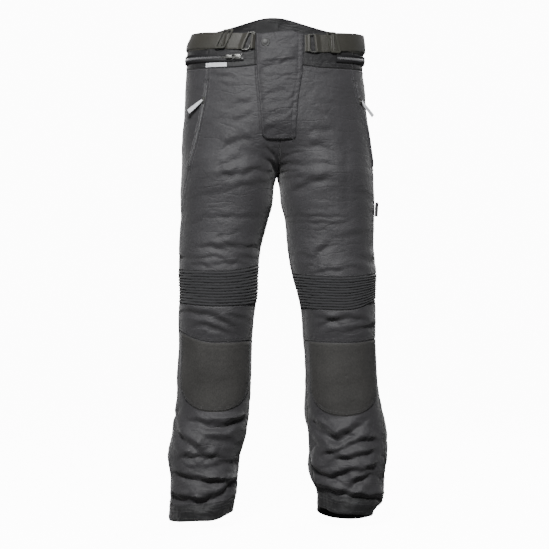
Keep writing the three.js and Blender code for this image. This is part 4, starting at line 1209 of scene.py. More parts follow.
def fly_flap():
    u, v = grid(92, 217, 1.9)
    x, z = fly_spot(u, v)
    side, share = share_at_x(x, z)
    free = x - at(FLY_EDGES, "free", z)
    sewn = at(FLY_EDGES, "sewn", z) - x
    bottom = z - FLY_EDGES["z"][-1]
    in_corner = (free < FLY_CORNER) & (bottom < FLY_CORNER)
    from_corner = FLY_CORNER - np.hypot(FLY_CORNER - free, FLY_CORNER - bottom)
    rim = np.where(in_corner, from_corner, np.minimum(free, bottom))
    edge = np.minimum(rim, (1 - v) * 217)
    rounded = FLY_THICK * (0.35 + 0.65 * smooth(edge / 2.6)) + fly_curl(rim) * smooth(sewn / 30)
    sink = -FLY_THICK * 0.5 * np.exp(-((sewn / 1.6) ** 2)) - 0.55 * np.exp(-(((sewn - 10) / 1.4) ** 2))
    hump = 1.7 * smooth(1.25 - np.maximum(np.abs((x + 4) / 36), np.abs((z + 17) / 17)) ** 2.2)
    pleat = 0.35 * np.sin(z / 2.1 + 3 * np.sin(z / 17)) * np.exp(-(((sewn - 5) / 4.5) ** 2))
    folds = 0.8 * fold_height(x, z, FLY_FOLDS, 13)
    folds = folds + 0.15 * ripple(np.stack([x, x * 0, z], axis=-1), 47, 12, 30, 0.6)
    fade = smooth(edge / 6) * smooth((sewn + 2) / 6)
    height = FLY_LIFT + rounded + sink + (hump + np.maximum(folds, -1.2)) * fade + pleat
    points, normals = cloth(side, share, z, height, seams=False)
    flap = sheet(
        "fly_flap", points, normals, "shell_cloth", thick=1.5,
    )
    # the flap gets the darker cloth: painted shade
    flap.data.materials[0] = FLY_CLOTH_PAINTED_SHADE
    fly_stitches()


def fly_curl(distance):
    return FLY_CURL * np.exp(-((distance / 8) ** 2))


def fly_line(x, z, lift):
    side, share = share_at_x(x, z)
    return cloth(side, share, z, lift, seams=False)


def fly_stitches():
    lift = FLY_LIFT + FLY_THICK + 0.05
    z = np.linspace(22, -190, 140)
    rows = [fly_line(at(FLY_EDGES, "sewn", z) - inset, z, lift - 0.5) for inset in (2.2, 10)]
    free_z = np.linspace(22, -176, 130)
    raised = lift + fly_curl(INSET)
    rows.append(fly_line(at(FLY_EDGES, "free", free_z) + INSET, free_z, raised))
    turn = np.linspace(np.pi, 1.5 * np.pi, 24)
    corner = FLY_CORNER - 2
    corner_x = at(FLY_EDGES, "free", -178.0) + INSET + corner
    rows.append(fly_line(corner_x + corner * np.cos(turn), -176.5 + corner * np.sin(turn), raised))
    low_x = np.linspace(corner_x, 29, 50)
    low_lift = lift + fly_curl(INSET) * smooth((at(FLY_EDGES, "sewn", -188.5) - low_x) / 30)
    rows.append(fly_line(low_x, np.full_like(low_x, -188.5), low_lift))
    bar_z = np.linspace(-186, -196, 14)
    rows += [fly_line(np.full_like(bar_z, x), bar_z, lift) for x in (24.0, 25.4, 26.8)]
    stitching("fly_stitches", rows)


# Sewing along the seams


def across_leg(side, height, first, last, start, end, lift, count=200):
    """A row of stitches level with a seam, from one share of a panel to another."""
    part = np.linspace(first, last, count)
    z = height(part)
    share = mix(start(z), end(z), part)
    return cloth(side, share, z, lift)


def seam_stitches(side):
    tag = TAGS[side]
    seam = lambda z: side_seam(side, z)
    rows = []
    for inset, lift in ((INSET, 0.35), (SECOND_INSET, 0.2)):
        z = np.linspace(-48, -930, 500)
        rows.append(cloth(side, seam(z) - inset / HALF_ROUND, z, lift))
    z = np.linspace(-262, -915, 400)
    rows.append(cloth(side, inseam(z) + INSET / HALF_ROUND, z, 0.3))
    z = np.linspace(-204, -258, 40)
    rows.append(cloth(side, 3.4 / HALF_ROUND + 0 * z, z, 0.3))
    z = np.linspace(6, -256, 160)
    rows.append(cloth(side, 1 - 3.4 / HALF_ROUND + 0 * z, z, 0.3))
    for name, drops in (("knee_top", (3.0,)), ("knee_bottom", (-3.0,)), ("band_bottom", (3.0, 8.0))):
        line = line_of(side, name)
        for drop in drops:
            rows.append(across_leg(side, lambda u: line(u) + drop, 0.02, 0.98, inseam, seam, 0.1))
    front_low = lambda u: waist_seam(u * seam(-40)) - 3.0
    rows.append(across_leg(side, front_low, 0.22, 0.98, inseam, seam, 0.1))
    back_low = lambda u: waist_seam(mix(seam(0), 1, u)) - 3.0
    rows.append(across_leg(side, back_low, 0.02, 0.98, seam, back_inseam, 0.1))
    knee = lambda u: BACK_KNEE_Z + 3.0 + 0 * u
    rows.append(across_leg(side, knee, 0.02, 0.98, seam, back_inseam, 0.1))
    turn = np.linspace(0.036, 1.034, 420)
    for up in (6.5, *CUFF_ROWS, CUFF + INSET):
        rows.append(cloth(side, turn, hem_height(side, turn) + up, 0.25))
    stitching(f"seam_stitches_{tag}", rows)


def band_stitches():
    rows = []
    for side in (-1, 1):
        part = np.linspace(0.16, 1, 360)
        rows.append(cloth(side, part, waist_top(part) - 5.0, 0.1))
        front = np.linspace(0.17, 0.37, 120)
        rows.append(cloth(side, front, waist_seam(front) + 4, 0.3))
        if side > 0:
            rows.append(cloth(side, front, waist_seam(front) + 9.5, 0.2))
    stitching("band_stitches", rows)


# Hard pieces


def seat(side, share, z, lift):
    """The place and the directions of a small stiff piece seated on the form."""
    normal = form_normal(side, share, z)
    across = unit(np.cross((0.0, 0.0, 1.0), normal))
    return {
        "origin": form_point(side, share, z) + normal * lift,
        "across": across,
        "up": np.cross(normal, across),
        "out": normal,
    }


def slanted(part, degrees):
    """A flat piece with its upright edges slanted and its height kept."""
    points, faces = part
    points = points.copy()
    points[..., 0] -= math.tan(math.radians(degrees)) * points[..., 1]
    return points, faces


def seated(points, base):
    """Points in a seat's own directions, as places of the garment."""
    return (
        base["origin"]
        + points[..., :1] * base["across"]
        + points[..., 1:2] * base["up"]
        + points[..., 2:3] * base["out"]
    )


def rounded_box(wide, high, radius, count=7):
    """The outline of a rectangle with round corners, anticlockwise."""
    points = []
    for corner, (sx, sy) in enumerate(((1, -1), (1, 1), (-1, 1), (-1, -1))):
        turn = np.linspace(-np.pi / 2, 0, count) + corner * np.pi / 2
        centre = np.array([sx * (wide / 2 - radius), sy * (high / 2 - radius)])
        points.append(centre + radius * np.stack([np.cos(turn), np.sin(turn)], axis=-1))
    return np.concatenate(points)


def inset_of(outline, distance):
    """An outline moved in by a distance."""
    ahead, behind = np.roll(outline, -1, axis=0), np.roll(outline, 1, axis=0)
    tangent = unit(ahead - behind)
    return outline + np.stack([-tangent[:, 1], tangent[:, 0]], axis=-1) * distance


def capped(rings, bottom, top):
    """A solid through rings of points, one above another, closed by a fan at each end."""
    count = len(rings[0])
    last = (len(rings) - 1) * count
    points = np.concatenate([*rings, [bottom], [top]])
    index = np.arange(count)
    ahead = np.roll(index, -1)
    faces = []
    for a in range(0, last, count):
        b = a + count
        faces.append(np.stack([a + index, a + ahead, b + ahead], axis=-1))
        faces.append(np.stack([a + index, b + ahead, b + index], axis=-1))
    low, high = np.full(count, len(points) - 2), np.full(count, len(points) - 1)
    faces.append(np.stack([low, ahead, index], axis=-1))
    faces.append(np.stack([high, last + index, last + ahead], axis=-1))
    return points, np.concatenate(faces)


def bevelled(outline, bottom, top, bevel):
    """A plate with rounded edges, domed caps and its outline in the middle of its height."""
    insets = ((1.0, bottom), (0.3, bottom + bevel * 0.3), (0.0, bottom + bevel))
    insets += ((0.0, top - bevel), (0.3, top - bevel * 0.3), (1.0, top))
    rings = [
        np.concatenate([inset_of(outline, bevel * inset), np.full((len(outline), 1), height)], axis=1)
        for inset, height in insets
    ]
    middle = outline.mean(axis=0)
    return capped(rings, [*middle, bottom], [*middle, top])


def loop_of(path, section_in, section_up):
    """A closed loop: a section swept round a flat path; the section is in and up offsets."""
    ahead, behind = np.roll(path, -1, axis=0), np.roll(path, 1, axis=0)
    tangent = unit(ahead - behind)
    inwards = np.stack([-tangent[:, 1], tangent[:, 0]], axis=-1)
    count, sides = len(path), len(section_in)
    points = np.empty((count, sides, 3))
    for k in range(sides):
        points[:, k, :2] = path + inwards * section_in[k]
        points[:, k, 2] = section_up[k]
    index = np.arange(count * sides).reshape(count, sides)
    right, down = np.roll(index, -1, axis=0), np.roll(index, -1, axis=1)
    corner = np.roll(right, -1, axis=1)
    faces = np.stack([index, right, corner, down], axis=-1).reshape(-1, 4)
    return points.reshape(-1, 3), faces


def round_section(radius, count=12):
    turn = np.linspace(0, 2 * np.pi, count, endpoint=False)
    return radius * np.cos(turn), radius * np.sin(turn)


def flat_section(wide, high, bevel=0.5):
    """A bar's section with eased corners, centred."""
    w, h = wide / 2, high / 2
    corners = [(w, -h + bevel), (w, h - bevel), (w - bevel, h), (-w + bevel, h)]
    corners += [(-w, h - bevel), (-w, -h + bevel), (-w + bevel, -h), (w - bevel, -h)]
    points = np.array(corners)
    return points[:, 0], points[:, 1]


def bar(start, end, wide, high):
    """A straight bar between two points in a seat, with eased edges."""
    across, up = flat_section(wide, high, 0.4)
    start, end = np.array(start, float), np.array(end, float)
    along = unit(end - start)
    side = unit(np.cross((0, 0, 1.0), along))
    ring = lambda centre: centre + side * across[:, None] + np.array([0, 0, 1.0]) * up[:, None]
    return capped([ring(start), ring(end)], start, end)


def hard(name, parts, base, slot, body=GARMENT, replaces=()):
    """A stiff piece of several closed parts, given in the directions of its seat."""
    points, faces = joined([(seated(points, base), faces) for points, faces in parts])
    return piece(name, points, faces, slot, body=body, replaces=replaces, sharp=38)


def turned(profile, count=48):
    """A round piece from a profile of radii and heights that starts and ends on its axis."""
    turn = np.linspace(0, 2 * np.pi, count, endpoint=False)
    rings = [
        np.stack([radius * np.cos(turn), radius * np.sin(turn), np.full(count, float(height))], axis=-1)
        for radius, height in profile[1:-1]
    ]
    return capped(rings, [0, 0, profile[0][1]], [0, 0, profile[-1][1]])


def snap_button():
    side, share = share_at_x(-31.0, 6.0)
    base = seat(side, share, 6.0, FLY_LIFT + FLY_THICK + SEATED)
    profile = [(0, 0), (8.2, 0), (8.9, 0.5), (8.9, 1.3), (8.3, 1.9), (7.6, 2.0), (7.0, 1.7)]
    profile += [(6.4, 1.75), (5.2, 2.2), (3.2, 2.5), (1.4, 2.6), (0, 2.62)]
    snap = hard("snap_button_cap", [turned(profile)], base, "metal", replaces=("snap_button",))
    snap.data.materials[0] = SNAP


def strip_grid(width, pitch, share, lifts, middle, leans=0.0):
    """Rows across a strip, and for each point its share, lift, height and distance from an edge."""
    rows = steps(width, pitch, (0.0, 0.5, 1.2))
    shares, v = np.meshgrid(share, rows)
    lift, z = np.meshgrid(lifts, rows)[0], np.meshgrid(middle, rows)[0] + (v - 0.5) * width
    return rows * width, shares + leans * (v - 0.5), lift, z, np.minimum(v, 1 - v) * width


def facing(grid):
    """The directions out of a grid of points, on one of its two sides."""
    return unit(np.cross(np.gradient(grid, axis=1), np.gradient(grid, axis=0)))


def ribbon(name, outer, inner, middle, rows, replaces):
    """Webbing between two grids of points."""
    points, faces = shell(outer, inner)
    u, v = np.meshgrid(gone_along(middle, 1), rows)
    uv = np.stack([v, u], axis=-1).reshape(-1, 2)
    obj = piece(name, points, faces, "webbing", replaces=replaces, uv=np.concatenate([uv, uv]))
    declare_cut(middle)


def rise(distance, low, high, reach):
    """A bump of the given height at distance 0, back to low at reach."""
    return low + (high - low) * smooth(1 - np.abs(distance) / reach)


def adjuster(side, ring_z, side_z, slider_x, slider_z, slider_lean, ring_lean):
    """One waist adjuster: webbing from the side seam through its slider and round the ring."""
    tag = TAGS[side]
    width = STRAP_WIDTHS[side]
    bar_x = RING_X + RING_WIDE / 2 - WIRE
    ring_share = float(share_at_x(side * bar_x, ring_z)[1])
    slider_share = float(share_at_x(slider_x, slider_z)[1])
    to_share = 1 / HALF_ROUND
    reach = STRAP_END_SHARE - ring_share
    # the outer run, from the side seam to the top of the ring's bar
    out_share = ring_share + reach * np.linspace(1, 0.006, 150) ** 1.15
    middle = lambda share: mix(ring_z, side_z, smooth((share - ring_share) / reach * 1.6))
    from_slider = (out_share - slider_share) / to_share
    from_bar = (out_share - ring_share) / to_share
    lift = STRAP_LIFT + 0.5 * np.sin(from_bar / 19) * smooth(from_bar / 60)
    lift = lift - 1.2 * np.exp(-(((np.abs(from_slider) - 5.6) / 1.7) ** 2))
    lift = np.maximum(lift, rise(from_slider, STRAP_LIFT - 1.2, 7.3, 4.0))
    over_bar = RING_LIFT + WIRE + WEBBING - STRAP_LIFT
    lift = np.maximum(lift, STRAP_LIFT + over_bar * smooth(1 - from_bar / 13))
    # round the bar, and back below to the slider
    turn = np.linspace(np.pi / 2, 1.5 * np.pi, 16)[1:-1]
    around = WIRE + WEBBING
    wrap_share = ring_share + around * np.cos(turn) * to_share
    wrap_lift = RING_LIFT + around * np.sin(turn)
    back_from = np.linspace(0.5, (slider_share - ring_share) / to_share - 6, 26)
    back_share = ring_share + back_from * to_share
    back_lift = np.maximum(RING_LIFT - around, 0.3) + 0.0 * back_from
    share = np.concatenate([out_share, wrap_share, back_share])
    lifts = np.concatenate([lift, wrap_lift, back_lift])
    lean = -math.tan(math.radians(ring_lean)) * width * to_share * side
    leans = lean * smooth(1 - (share - ring_share) / to_share / 30)
    strap_span(tag, side, share, lifts, middle(share), width, leans)
    ring_piece(tag, side, ring_z, ring_lean)
    tab_piece(tag, side, ring_z, width - 2)
    slider_piece(tag, side, slider_share, slider_z, width, slider_lean)
    strap_tail(tag, side, slider_share, side_z, width)


def strap_span(tag, side, share, lifts, middle, width, leans):
    """The webbing itself, thick along its own path so that it can turn back on itself."""
    rows, shares, lift, z, edge = strip_grid(width, 2.4, share, lifts, middle, leans)
    normals = form_normal(side, shares, z)
    centre = form_point(side, shares, z) + normals * (lift - WEBBING / 2)[..., None]
    out = facing(centre)
    if np.sum(out[:, 10] * normals[:, 10]) < 0:
        out = -out
    half = 1 - 0.45 * np.exp(-((edge / 0.7) ** 2)) + 0.1 * np.exp(-(((edge - 2.8) / 1) ** 2))
    half = (WEBBING / 2 * half)[..., None]
    outer, inner = centre + out * half, centre - out * half
    ribbon(f"strap_webbing_{tag}", outer, inner, centre, rows, (f"strap_{tag}",))


def strap_tail(tag, side, slider_share, side_z, width):
    """The second layer, which shows a little below the outer one beside the side seam."""
    share = np.linspace(slider_share + 0.03, STRAP_END_SHARE - 0.01, 60)
    part = (share - share[0]) / (share[-1] - share[0])
    middle = side_z - 3.2 - 1.6 * np.sin(part * 3.1)
    lifts = 1.2 + 0.25 * np.sin(part * 9)
    rows, shares, lift, z, edge = strip_grid(width - 2, 2.2, share, lifts, middle)
    lift = lift - 0.35 * np.exp(-((edge / 0.8) ** 2)) + 0.12 * np.exp(-(((edge - 2.6) / 1.1) ** 2))
    normals = form_normal(side, shares, z)
    points = form_point(side, shares, z) + normals * lift[..., None]
    out = facing(points)
    out *= np.sign(np.sum(out * normals, axis=-1).mean())
    ribbon(f"strap_return_{tag}", points, points - out, points, rows, ())


def ring_piece(tag, side, ring_z, lean):
    share = share_at_x(side * RING_X, ring_z)[1]
    path = dense(rounded_box(RING_WIDE - 2 * WIRE, RING_HIGH - 2 * WIRE, 2.6), 2.0)
    wire = slanted(loop_of(path, *round_section(WIRE)), lean)
    base = seat(side, share, ring_z, RING_LIFT)
    hard(f"ring_wire_{tag}", [wire], base, "metal", replaces=(f"ring_{tag}",))


def dense(path, pitch):
    """A closed flat path with points at least every pitch."""
    rounds = np.concatenate([path, path[:1]])
    points = []
    for a, b in zip(rounds[:-1], rounds[1:]):
        count = max(1, int(np.linalg.norm(b - a) // pitch))
        points += [a + (b - a) * k / count for k in range(count)]
    return np.array(points)


def tab_piece(tag, side, ring_z, width):
    """The short tab that holds the ring: up from under the fly, round the bar and back."""
    start = 50.5 if side > 0 else 52.5
    bar_x = RING_X - RING_WIDE / 2 + WIRE
    around = WIRE + 0.6
    turn = np.linspace(np.pi / 2, -np.pi / 2, 14)
    top_x = np.linspace(start, bar_x - 1.5, 8)
    top_lift = mix(1.9, RING_LIFT + around, smooth((top_x - start) / (bar_x - 1.5 - start)))
    low_x = np.linspace(bar_x - 1.0, start + 1, 6)
    x = np.concatenate([top_x, bar_x + around * np.cos(turn), low_x])
    low_lift = np.full(len(low_x), RING_LIFT - around - 0.4)
    lifts = np.concatenate([top_lift, RING_LIFT + around * np.sin(turn), low_lift])
    level = np.full_like(x, float(ring_z))
    share = share_at_x(side * x, level)[1]
    rows, shares, lift, z, _ = strip_grid(width, 2.4, share, lifts, level)
    centre = form_point(side, shares, z) + form_normal(side, shares, z) * lift[..., None]
    half = facing(centre) * 1.1 / 2
    ribbon(f"ring_loop_{tag}", centre + half, centre - half, centre, rows, (f"ring_tab_{tag}",))


def slider_piece(tag, side, share, z, width, lean):
    """The three-bar slider: a flat frame with a bar across its middle, under the webbing."""
    base = seat(side, share, z, STRAP_SLIDER["lift"])
    wide, rim, bar_wide = STRAP_SLIDER["wide"], STRAP_SLIDER["rim"], STRAP_SLIDER["bar"]
    high = width + 2 * STRAP_SLIDER["past"]
    path = dense(rounded_box(wide - rim, high - rim, 2.4), 2.5)
    outline = loop_of(path, *flat_section(rim, 2.8, 0.9))
    end = high / 2 - 1.5
    middle = bar((0, -end, -0.5), (0, end, -0.5), bar_wide, 1.8)
    parts = [slanted(outline, lean), slanted(middle, lean)]
    hard(f"slider_frame_{tag}", parts, base, "buckle", replaces=(f"strap_slider_{tag}",))


# Zips


def teeth(name, rows, pitch=2.6, long=3.4, wide=1.7, high=1.1, slot="zip_dark"):
    """Zip teeth: short bars across a line, on alternate sides of it."""
    parts = []
    for points, out, split in rows:
        spot, along, normals, part = places_along(points, out, pitch / 2)
        across = unit(np.cross(normals, along))
        hand = np.where(np.arange(len(spot)) % 2 == 0, 1.0, -1.0)[:, None]
        spread = 0.85 + np.interp(part, np.linspace(0, 1, len(split)), split)[:, None]
        parts.append(lozenges(spot + across * hand * spread, across, normals, long, wide, high))
    obj = piece(name, *joined(parts), slot, sharp=40)
    if slot == "zip_dark":
        obj.data.materials[0] = TEETH


def zip_line(side, first, last, count):
    """The middle of the waist zip from one share to another, with the directions out."""
    shares = np.linspace(first, last, count)
    z = waist_seam(shares) + ZIP["above"] + ZIP["high"] / 2
    normals = form_normal(side, shares, z)
    return form_point(side, shares, z) + normals * (ZIP["lift"] + TAPE + 0.1), normals


def waist_zip():
    """The tape round the back with its teeth, open for a short way at its slider."""
    half = 420
    u = np.concatenate([np.linspace(0, 1, half), np.linspace(1, 0, half)[1:]])
    side = np.where(np.arange(len(u)) < half, -1.0, 1.0)
    share = np.where(side < 0, mix(ZIP["start"], 1.0, u), mix(ZIP["end"], 1.0, u))
    rows = steps(ZIP["high"], 1.7, (0.0, 0.5, 1.1))
    shares, v = np.meshgrid(share, rows)
    sides = np.meshgrid(side, rows)[0]
    z = waist_seam(shares) + ZIP["above"] + ZIP["high"] * v
    edge = np.minimum(v, 1 - v) * ZIP["high"]
    lip = 0.9 * np.exp(-(((edge - 2.6) / 2.0) ** 2)) - 0.5 * np.exp(-((edge / 0.7) ** 2))
    form, normals = form_point(sides, shares, z), form_normal(sides, shares, z)
    points = form + normals * (ZIP["lift"] + TAPE + lip)[..., None]
    sheet("waist_zip_tape", points, normals, "zip_dark", thick=TAPE)
    slider_z = float(waist_seam(0.22)) + ZIP["above"] + ZIP["high"] / 2
    slider = float(share_at_x(ZIP["slider_x"], slider_z)[1])
    middle, normals = zip_line(-1.0, slider + 0.012, 1, 320)
    rubbed = int(0.07 * len(middle))
    shut = (0.0, 0.0)
    lines = [(middle[rubbed:], normals[rubbed:], shut), (*zip_line(1.0, ZIP["end"] + 0.004, 1, 320), shut)]
    teeth("waist_zip_teeth", lines, pitch=4.4, long=4.6, wide=1.5, high=1.3)
    teeth("waist_zip_rubbed_teeth", [(middle[: rubbed + 1], normals[: rubbed + 1], shut)], slot="metal")
    mouth = zip_line(-1.0, ZIP["start"] + 0.004, slider - 0.012, 40)
    teeth("waist_zip_open_teeth", [(*mouth, (4.2, 3.6, 2.2, 0.3))])
    waist_slider(slider, slider_z)


def waist_slider(share, z):
    base = seat(-1.0, share, z, 1.2 + TAPE + SEATED)
    body = bevelled(rounded_box(15, 11, 3.4), 0, SLIDER_THICK, 0.9)
    saddle = bevelled(rounded_box(7.5, 3.6, 1.7), SLIDER_THICK - 0.4, SLIDER_THICK + 0.55, 0.35)
    hard("waist_slider_body", [body, saddle], base, "metal", replaces=("waist_zip_slider",))
    hinge = seat(-1.0, share, z, 1.2 + TAPE + SEATED + HINGE_HEIGHT)
    hinge["origin"] = hinge["origin"] - hinge["across"] * 4
    ring = loop_of(dense(rounded_box(9, 7, 3), 2) + (-3.2, 0), *round_section(0.7, 10))
    grip = bevelled(rounded_box(13, 7.6, 2.4) + (-13.3, 0), -PULL_HALF, PULL_HALF, 0.35)
    hard("waist_pull_tab", [ring, grip], hinge, "metal", body="pull_waist", replaces=("waist_zip_pull",))


def pocket(side, to):
    """A side pocket: zip between two lips over the side seam, slider and pale pull."""
    tag = TAGS[side]
    length = POCKET["top"] - POCKET["bottom"]
    u, v = np.meshgrid(steps(POCKET["wide"], 1.1, (0.0, 0.5, 1.1)), steps(length, 3.0))
    z = mix(POCKET["bottom"], POCKET["top"], v)
    offset = (u - 0.5) * POCKET["wide"]
    share = side_seam(side, z) + offset / HALF_GIRTH
    end = np.minimum(v, 1 - v) * length
    lip = 1.7 * np.exp(-(((np.abs(offset) - 3.6) / 1.4) ** 2)) * smooth(end / 9)
    open_mouth = smooth((z - POCKET["slider_z"]) / 8) * smooth((POCKET["top"] - 4 - z) / 8)
    dip = -0.9 * np.exp(-((offset / (1.4 + 1.6 * open_mouth)) ** 2)) * smooth(end / 6)
    edge = np.minimum(0.5 * POCKET["wide"] - np.abs(offset), end)
    drop = -0.8 * np.exp(-((edge / 0.8) ** 2))
    lift = POCKET_LIFT + TAPE + lip + dip + drop
    points, normals = cloth(side, share, z, lift, seams=False)
    sheet(f"pocket_welt_{tag}", points, normals, "shell_cloth", thick=1.0)
    shut = np.linspace(POCKET["bottom"] + 5, POCKET["slider_z"] - 6, 90)
    mouth = np.linspace(POCKET["slider_z"] + 6, POCKET["top"] - 5, 30)
    rows = []
    for z, apart in ((shut, (0.0, 0.0)), (mouth, (0.2, 1.4, 1.6, 0.4))):
        rows.append((*cloth(side, side_seam(side, z), z, POCKET_LIFT + TAPE - 0.4, seams=False), apart))
    teeth(f"pocket_teeth_{tag}", rows, pitch=2.2, long=2.2, wide=1.3, high=0.8)
    pocket_hard(tag, side, to)
    pocket_stitches(tag, side)


def pocket_stitches(tag, side):
    rows = []
    z = np.linspace(POCKET["bottom"] - 6, POCKET["top"] + 4, 100)
    for offset in (-8.4, 8.4):
        rows.append(cloth(side, side_seam(side, z) + offset / HALF_GIRTH, z, 0.4))
    for height in (POCKET["top"] + 3, POCKET["bottom"] - 4):
        for step in np.linspace(-2.4, 2.4, 5):
            share = side_seam(side, height) + np.linspace(-8.5, 8.5, 12) / HALF_GIRTH
            rows.append(cloth(side, share, height + step, 1.1))
    stitching(f"pocket_stitches_{tag}", rows, pitch=3.2, long=2.8)


def pocket_hard(tag, side, to):
    z = float(POCKET["slider_z"])
    base = seat(float(side), side_seam(side, z), z, POCKET_LIFT + TAPE + SEATED)
    body = bevelled(rounded_box(7.6, 12.4, 2.6), 0, SLIDER_THICK - 0.25, 0.8)
    saddle = bevelled(rounded_box(2.6, 6.4, 1.2), SLIDER_THICK - 0.6, SLIDER_THICK + 0.2, 0.3)
    replaces = (f"pocket_slider_{tag}",)
    hard(f"pocket_slider_body_{tag}", [body, saddle], base, "metal", replaces=replaces)
    along = unit(np.array(to))
    wide = unit(np.cross(base["out"], along))
    origin = base["origin"] + base["out"] * HINGE_HEIGHT
    pull = {"origin": origin, "across": along, "up": wide, "out": np.cross(along, wide)}
    share = np.array([0, 0.12, 0.3, 0.45, 0.7, 1.0])
    half = PULL_WIDE * np.array([0.2, 0.24, 0.31, 0.37, 0.45, 0.49])
    top = np.stack([share * PULL_LONG, half], axis=-1)
    outline = dense(np.concatenate([top[::-1] * (1, -1), top])[::-1], 3.0)
    tab = bevelled(outline[::-1], -PULL_HALF, PULL_HALF, 0.45)
    rider = f"pull_pocket_{tag}"
    replaces = (f"pocket_pull_{tag}",)
    hard(f"pocket_pull_tab_{tag}", [tab], pull, "reflective", body=rider, replaces=replaces)
    eye = loop_of(dense(rounded_box(6.4, 4.4, 2), 1.5) + (2.8, 0), *round_section(0.55, 8))
    hard(f"pocket_pull_eye_{tag}", [eye], pull, "metal", body=rider)
    rows = []
    for offset in (-2.9, 2.9):
        x = np.linspace(13, PULL_LONG - 3, 20)
        line = np.stack([x, np.full_like(x, offset), np.full_like(x, PULL_HALF)], axis=-1)
        rows.append((seated(line, pull), np.repeat(pull["out"][None], 20, axis=0)))
    sizes = {"pitch": 2.6, "long": 1.9, "wide": 0.5, "high": 0.25}
    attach(stitching(f"pocket_pull_stitches_{tag}", rows, "reflective", **sizes), rider)


# Small plain pieces


def patch():
    """A plain tape patch, stitched to the right of the waistband."""
    wide, high = 42, 9
    u, v = grid(wide, high, 2.0)
    share = share_at_x(mix(-110, -110 - wide, u), np.full_like(u, -40.0))[1]
    z = waist_seam(share) + 2 + high * v
    edge = np.minimum(np.minimum(u, 1 - u) * wide, np.minimum(v, 1 - v) * high)
    points, normals = cloth(-1, share, z, 0.5 + 0.8 * smooth(edge / 1.2 + 0.3))
    sheet("waist_patch", points, normals, "reflective", thick=0.7)


def inside_label():
    u, v = grid(48, 46, 2.6)
    x, z = mix(-38, 10, u), mix(22, 68, v)
    side, share = share_at_x(x, z, behind=True)
    normals = form_normal(side, share, z)
    sag = 0.6 * np.sin(u * 5 + v * 3) * smooth((1 - v) * 3)
    points = form_point(side, share, z) - normals * (WALL + 0.9 + 0.8 + sag)[..., None]
    sheet("inside_label", points, normals, "zip_dark", thick=0.8)


def side_label():
    """A folded loop of tape caught in the left side seam."""
    z = -335.0
    base = seat(1.0, side_seam(1, z), z, SEATED)
    turn = np.linspace(0, np.pi, 13)
    out = np.concatenate([[0], 6.2 + 0.8 * np.sin(turn), [0]])
    across = np.concatenate([[-0.8], -0.8 * np.cos(turn), [0.8]])
    v = np.linspace(-15, 15, 16)
    a, height = np.meshgrid(across, v)
    o = np.meshgrid(out, v)[0]
    local = np.stack([a, height, o], axis=-1)
    thin = np.stack([a * 0.35, height, o - 0.55 * (o > 0)], axis=-1)
    points, faces = shell(seated(local, base), seated(thin, base))
    obj = piece("side_label_loop", points, faces, "zip_dark", replaces=("side_label",))


# Camera, floor and light


def camera():
    """At the photograph's angle: level, five metres off and a little to the wearer's right."""
    distance, turn, view_wide = 5.0, math.radians(4), 1.153
    target = Vector((-0.005, 0, -0.4715))
    data = bpy.data.cameras.new("camera")
    data.sensor_width = 36
    data.lens = data.sensor_width * distance / view_wide
    obj = bpy.data.objects.new("camera", data)
    obj.location = target + distance * Vector((-math.sin(turn), -math.cos(turn), 0))
    obj.rotation_euler = (target - obj.location).to_track_quat("-Z", "Y").to_euler()
    bpy.context.scene.collection.objects.link(obj)
    bpy.context.scene.camera = obj


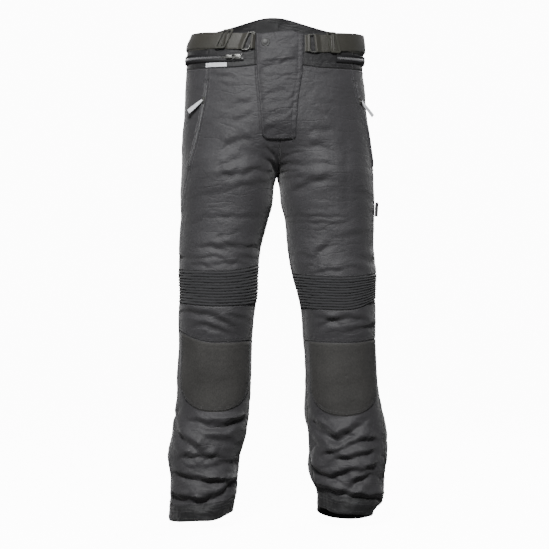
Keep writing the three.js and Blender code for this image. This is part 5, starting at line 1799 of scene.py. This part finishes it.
def backdrop():
    """A pale round floor that curves up into a wall all round, beyond any camera."""
    low = cad_box[0][2] - 0.002
    bend, flat, tall, count = 1.0, 8.0, 7.0, 64
    lean = np.linspace(0, np.pi / 2, 8)
    radius = np.concatenate([flat + bend * np.sin(lean), [flat + bend]])
    height = np.concatenate([low + bend * (1 - np.cos(lean)), [low + tall]])
    turn = np.linspace(0, 2 * np.pi, count, endpoint=False)
    points = [(0.0, 0.0, low)]
    points += [(r * math.cos(t), r * math.sin(t), h) for r, h in zip(radius, height) for t in turn]
    faces = [(0, 1 + k, 1 + (k + 1) % count) for k in range(count)]
    for ring in range(len(radius) - 1):
        inner, outer = 1 + ring * count, 1 + (ring + 1) * count
        for k in range(count):
            after = (k + 1) % count
            faces.append((inner + k, outer + k, outer + after, inner + after))
    mesh = bpy.data.meshes.new("floor")
    mesh.from_pydata(points, [], faces)
    mesh.polygons.foreach_set("use_smooth", np.ones(len(mesh.polygons), bool))
    nodes = Nodes("pale_floor")
    tone = nodes.span(nodes.noise(3, 2), 0.985, 1.0)
    white = nodes.tint((0.93, 0.93, 0.93), tone)
    glow = {"Emission_Color": (1.0, 1.0, 1.0, 1.0), "Emission_Strength": 12.0}
    mesh.materials.append(nodes.shade(Base_Color=white, Roughness=0.9, **glow))
    obj = bpy.data.objects.new("floor", mesh)
    obj.visible_diffuse = False
    obj.visible_glossy = False
    bpy.context.scene.collection.objects.link(obj)


def area_light(name, place, size, watts, target=(0, 0, -0.45)):
    data = bpy.data.lights.new(name, "AREA")
    data.shape = "RECTANGLE"
    data.size, data.size_y = size
    data.energy = watts
    obj = bpy.data.objects.new(name, data)
    obj.location = place
    obj.rotation_euler = (Vector(target) - Vector(place)).to_track_quat("-Z", "Y").to_euler()
    bpy.context.scene.collection.objects.link(obj)


def lights():
    area_light("key", (-0.45, -2.5, 1.4), (0.6, 0.5), 142, (0, 0, -0.3))
    area_light("fill", (1.2, -3.0, -0.1), (1.2, 2.0), 7)
    area_light("kicker", (-2.4, -1.2, 0.3), (0.8, 1.8), 10)
    area_light("behind", (1.3, 2.4, 1.5), (0.9, 0.9), 60, (0, 0, -0.3))
    world = bpy.data.worlds.new("studio")
    bpy.context.scene.world = world
    world.use_nodes = True
    world.node_tree.nodes["Background"].inputs["Color"].default_value = (1, 1, 1, 1)
    world.node_tree.nodes["Background"].inputs["Strength"].default_value = 0.12


camera()
backdrop()
lights()
for leg in (-1, 1):
    leg_panels(leg)
    shield(leg)
    hem_cuff(leg)
    seam_stitches(leg)
waistband()
band_stitches()
fly_flap()
snap_button()
for row in ADJUSTERS:
    adjuster(**row)
waist_zip()
for row in POCKET_PULLS:
    pocket(**row)
patch()
inside_label()
side_label()
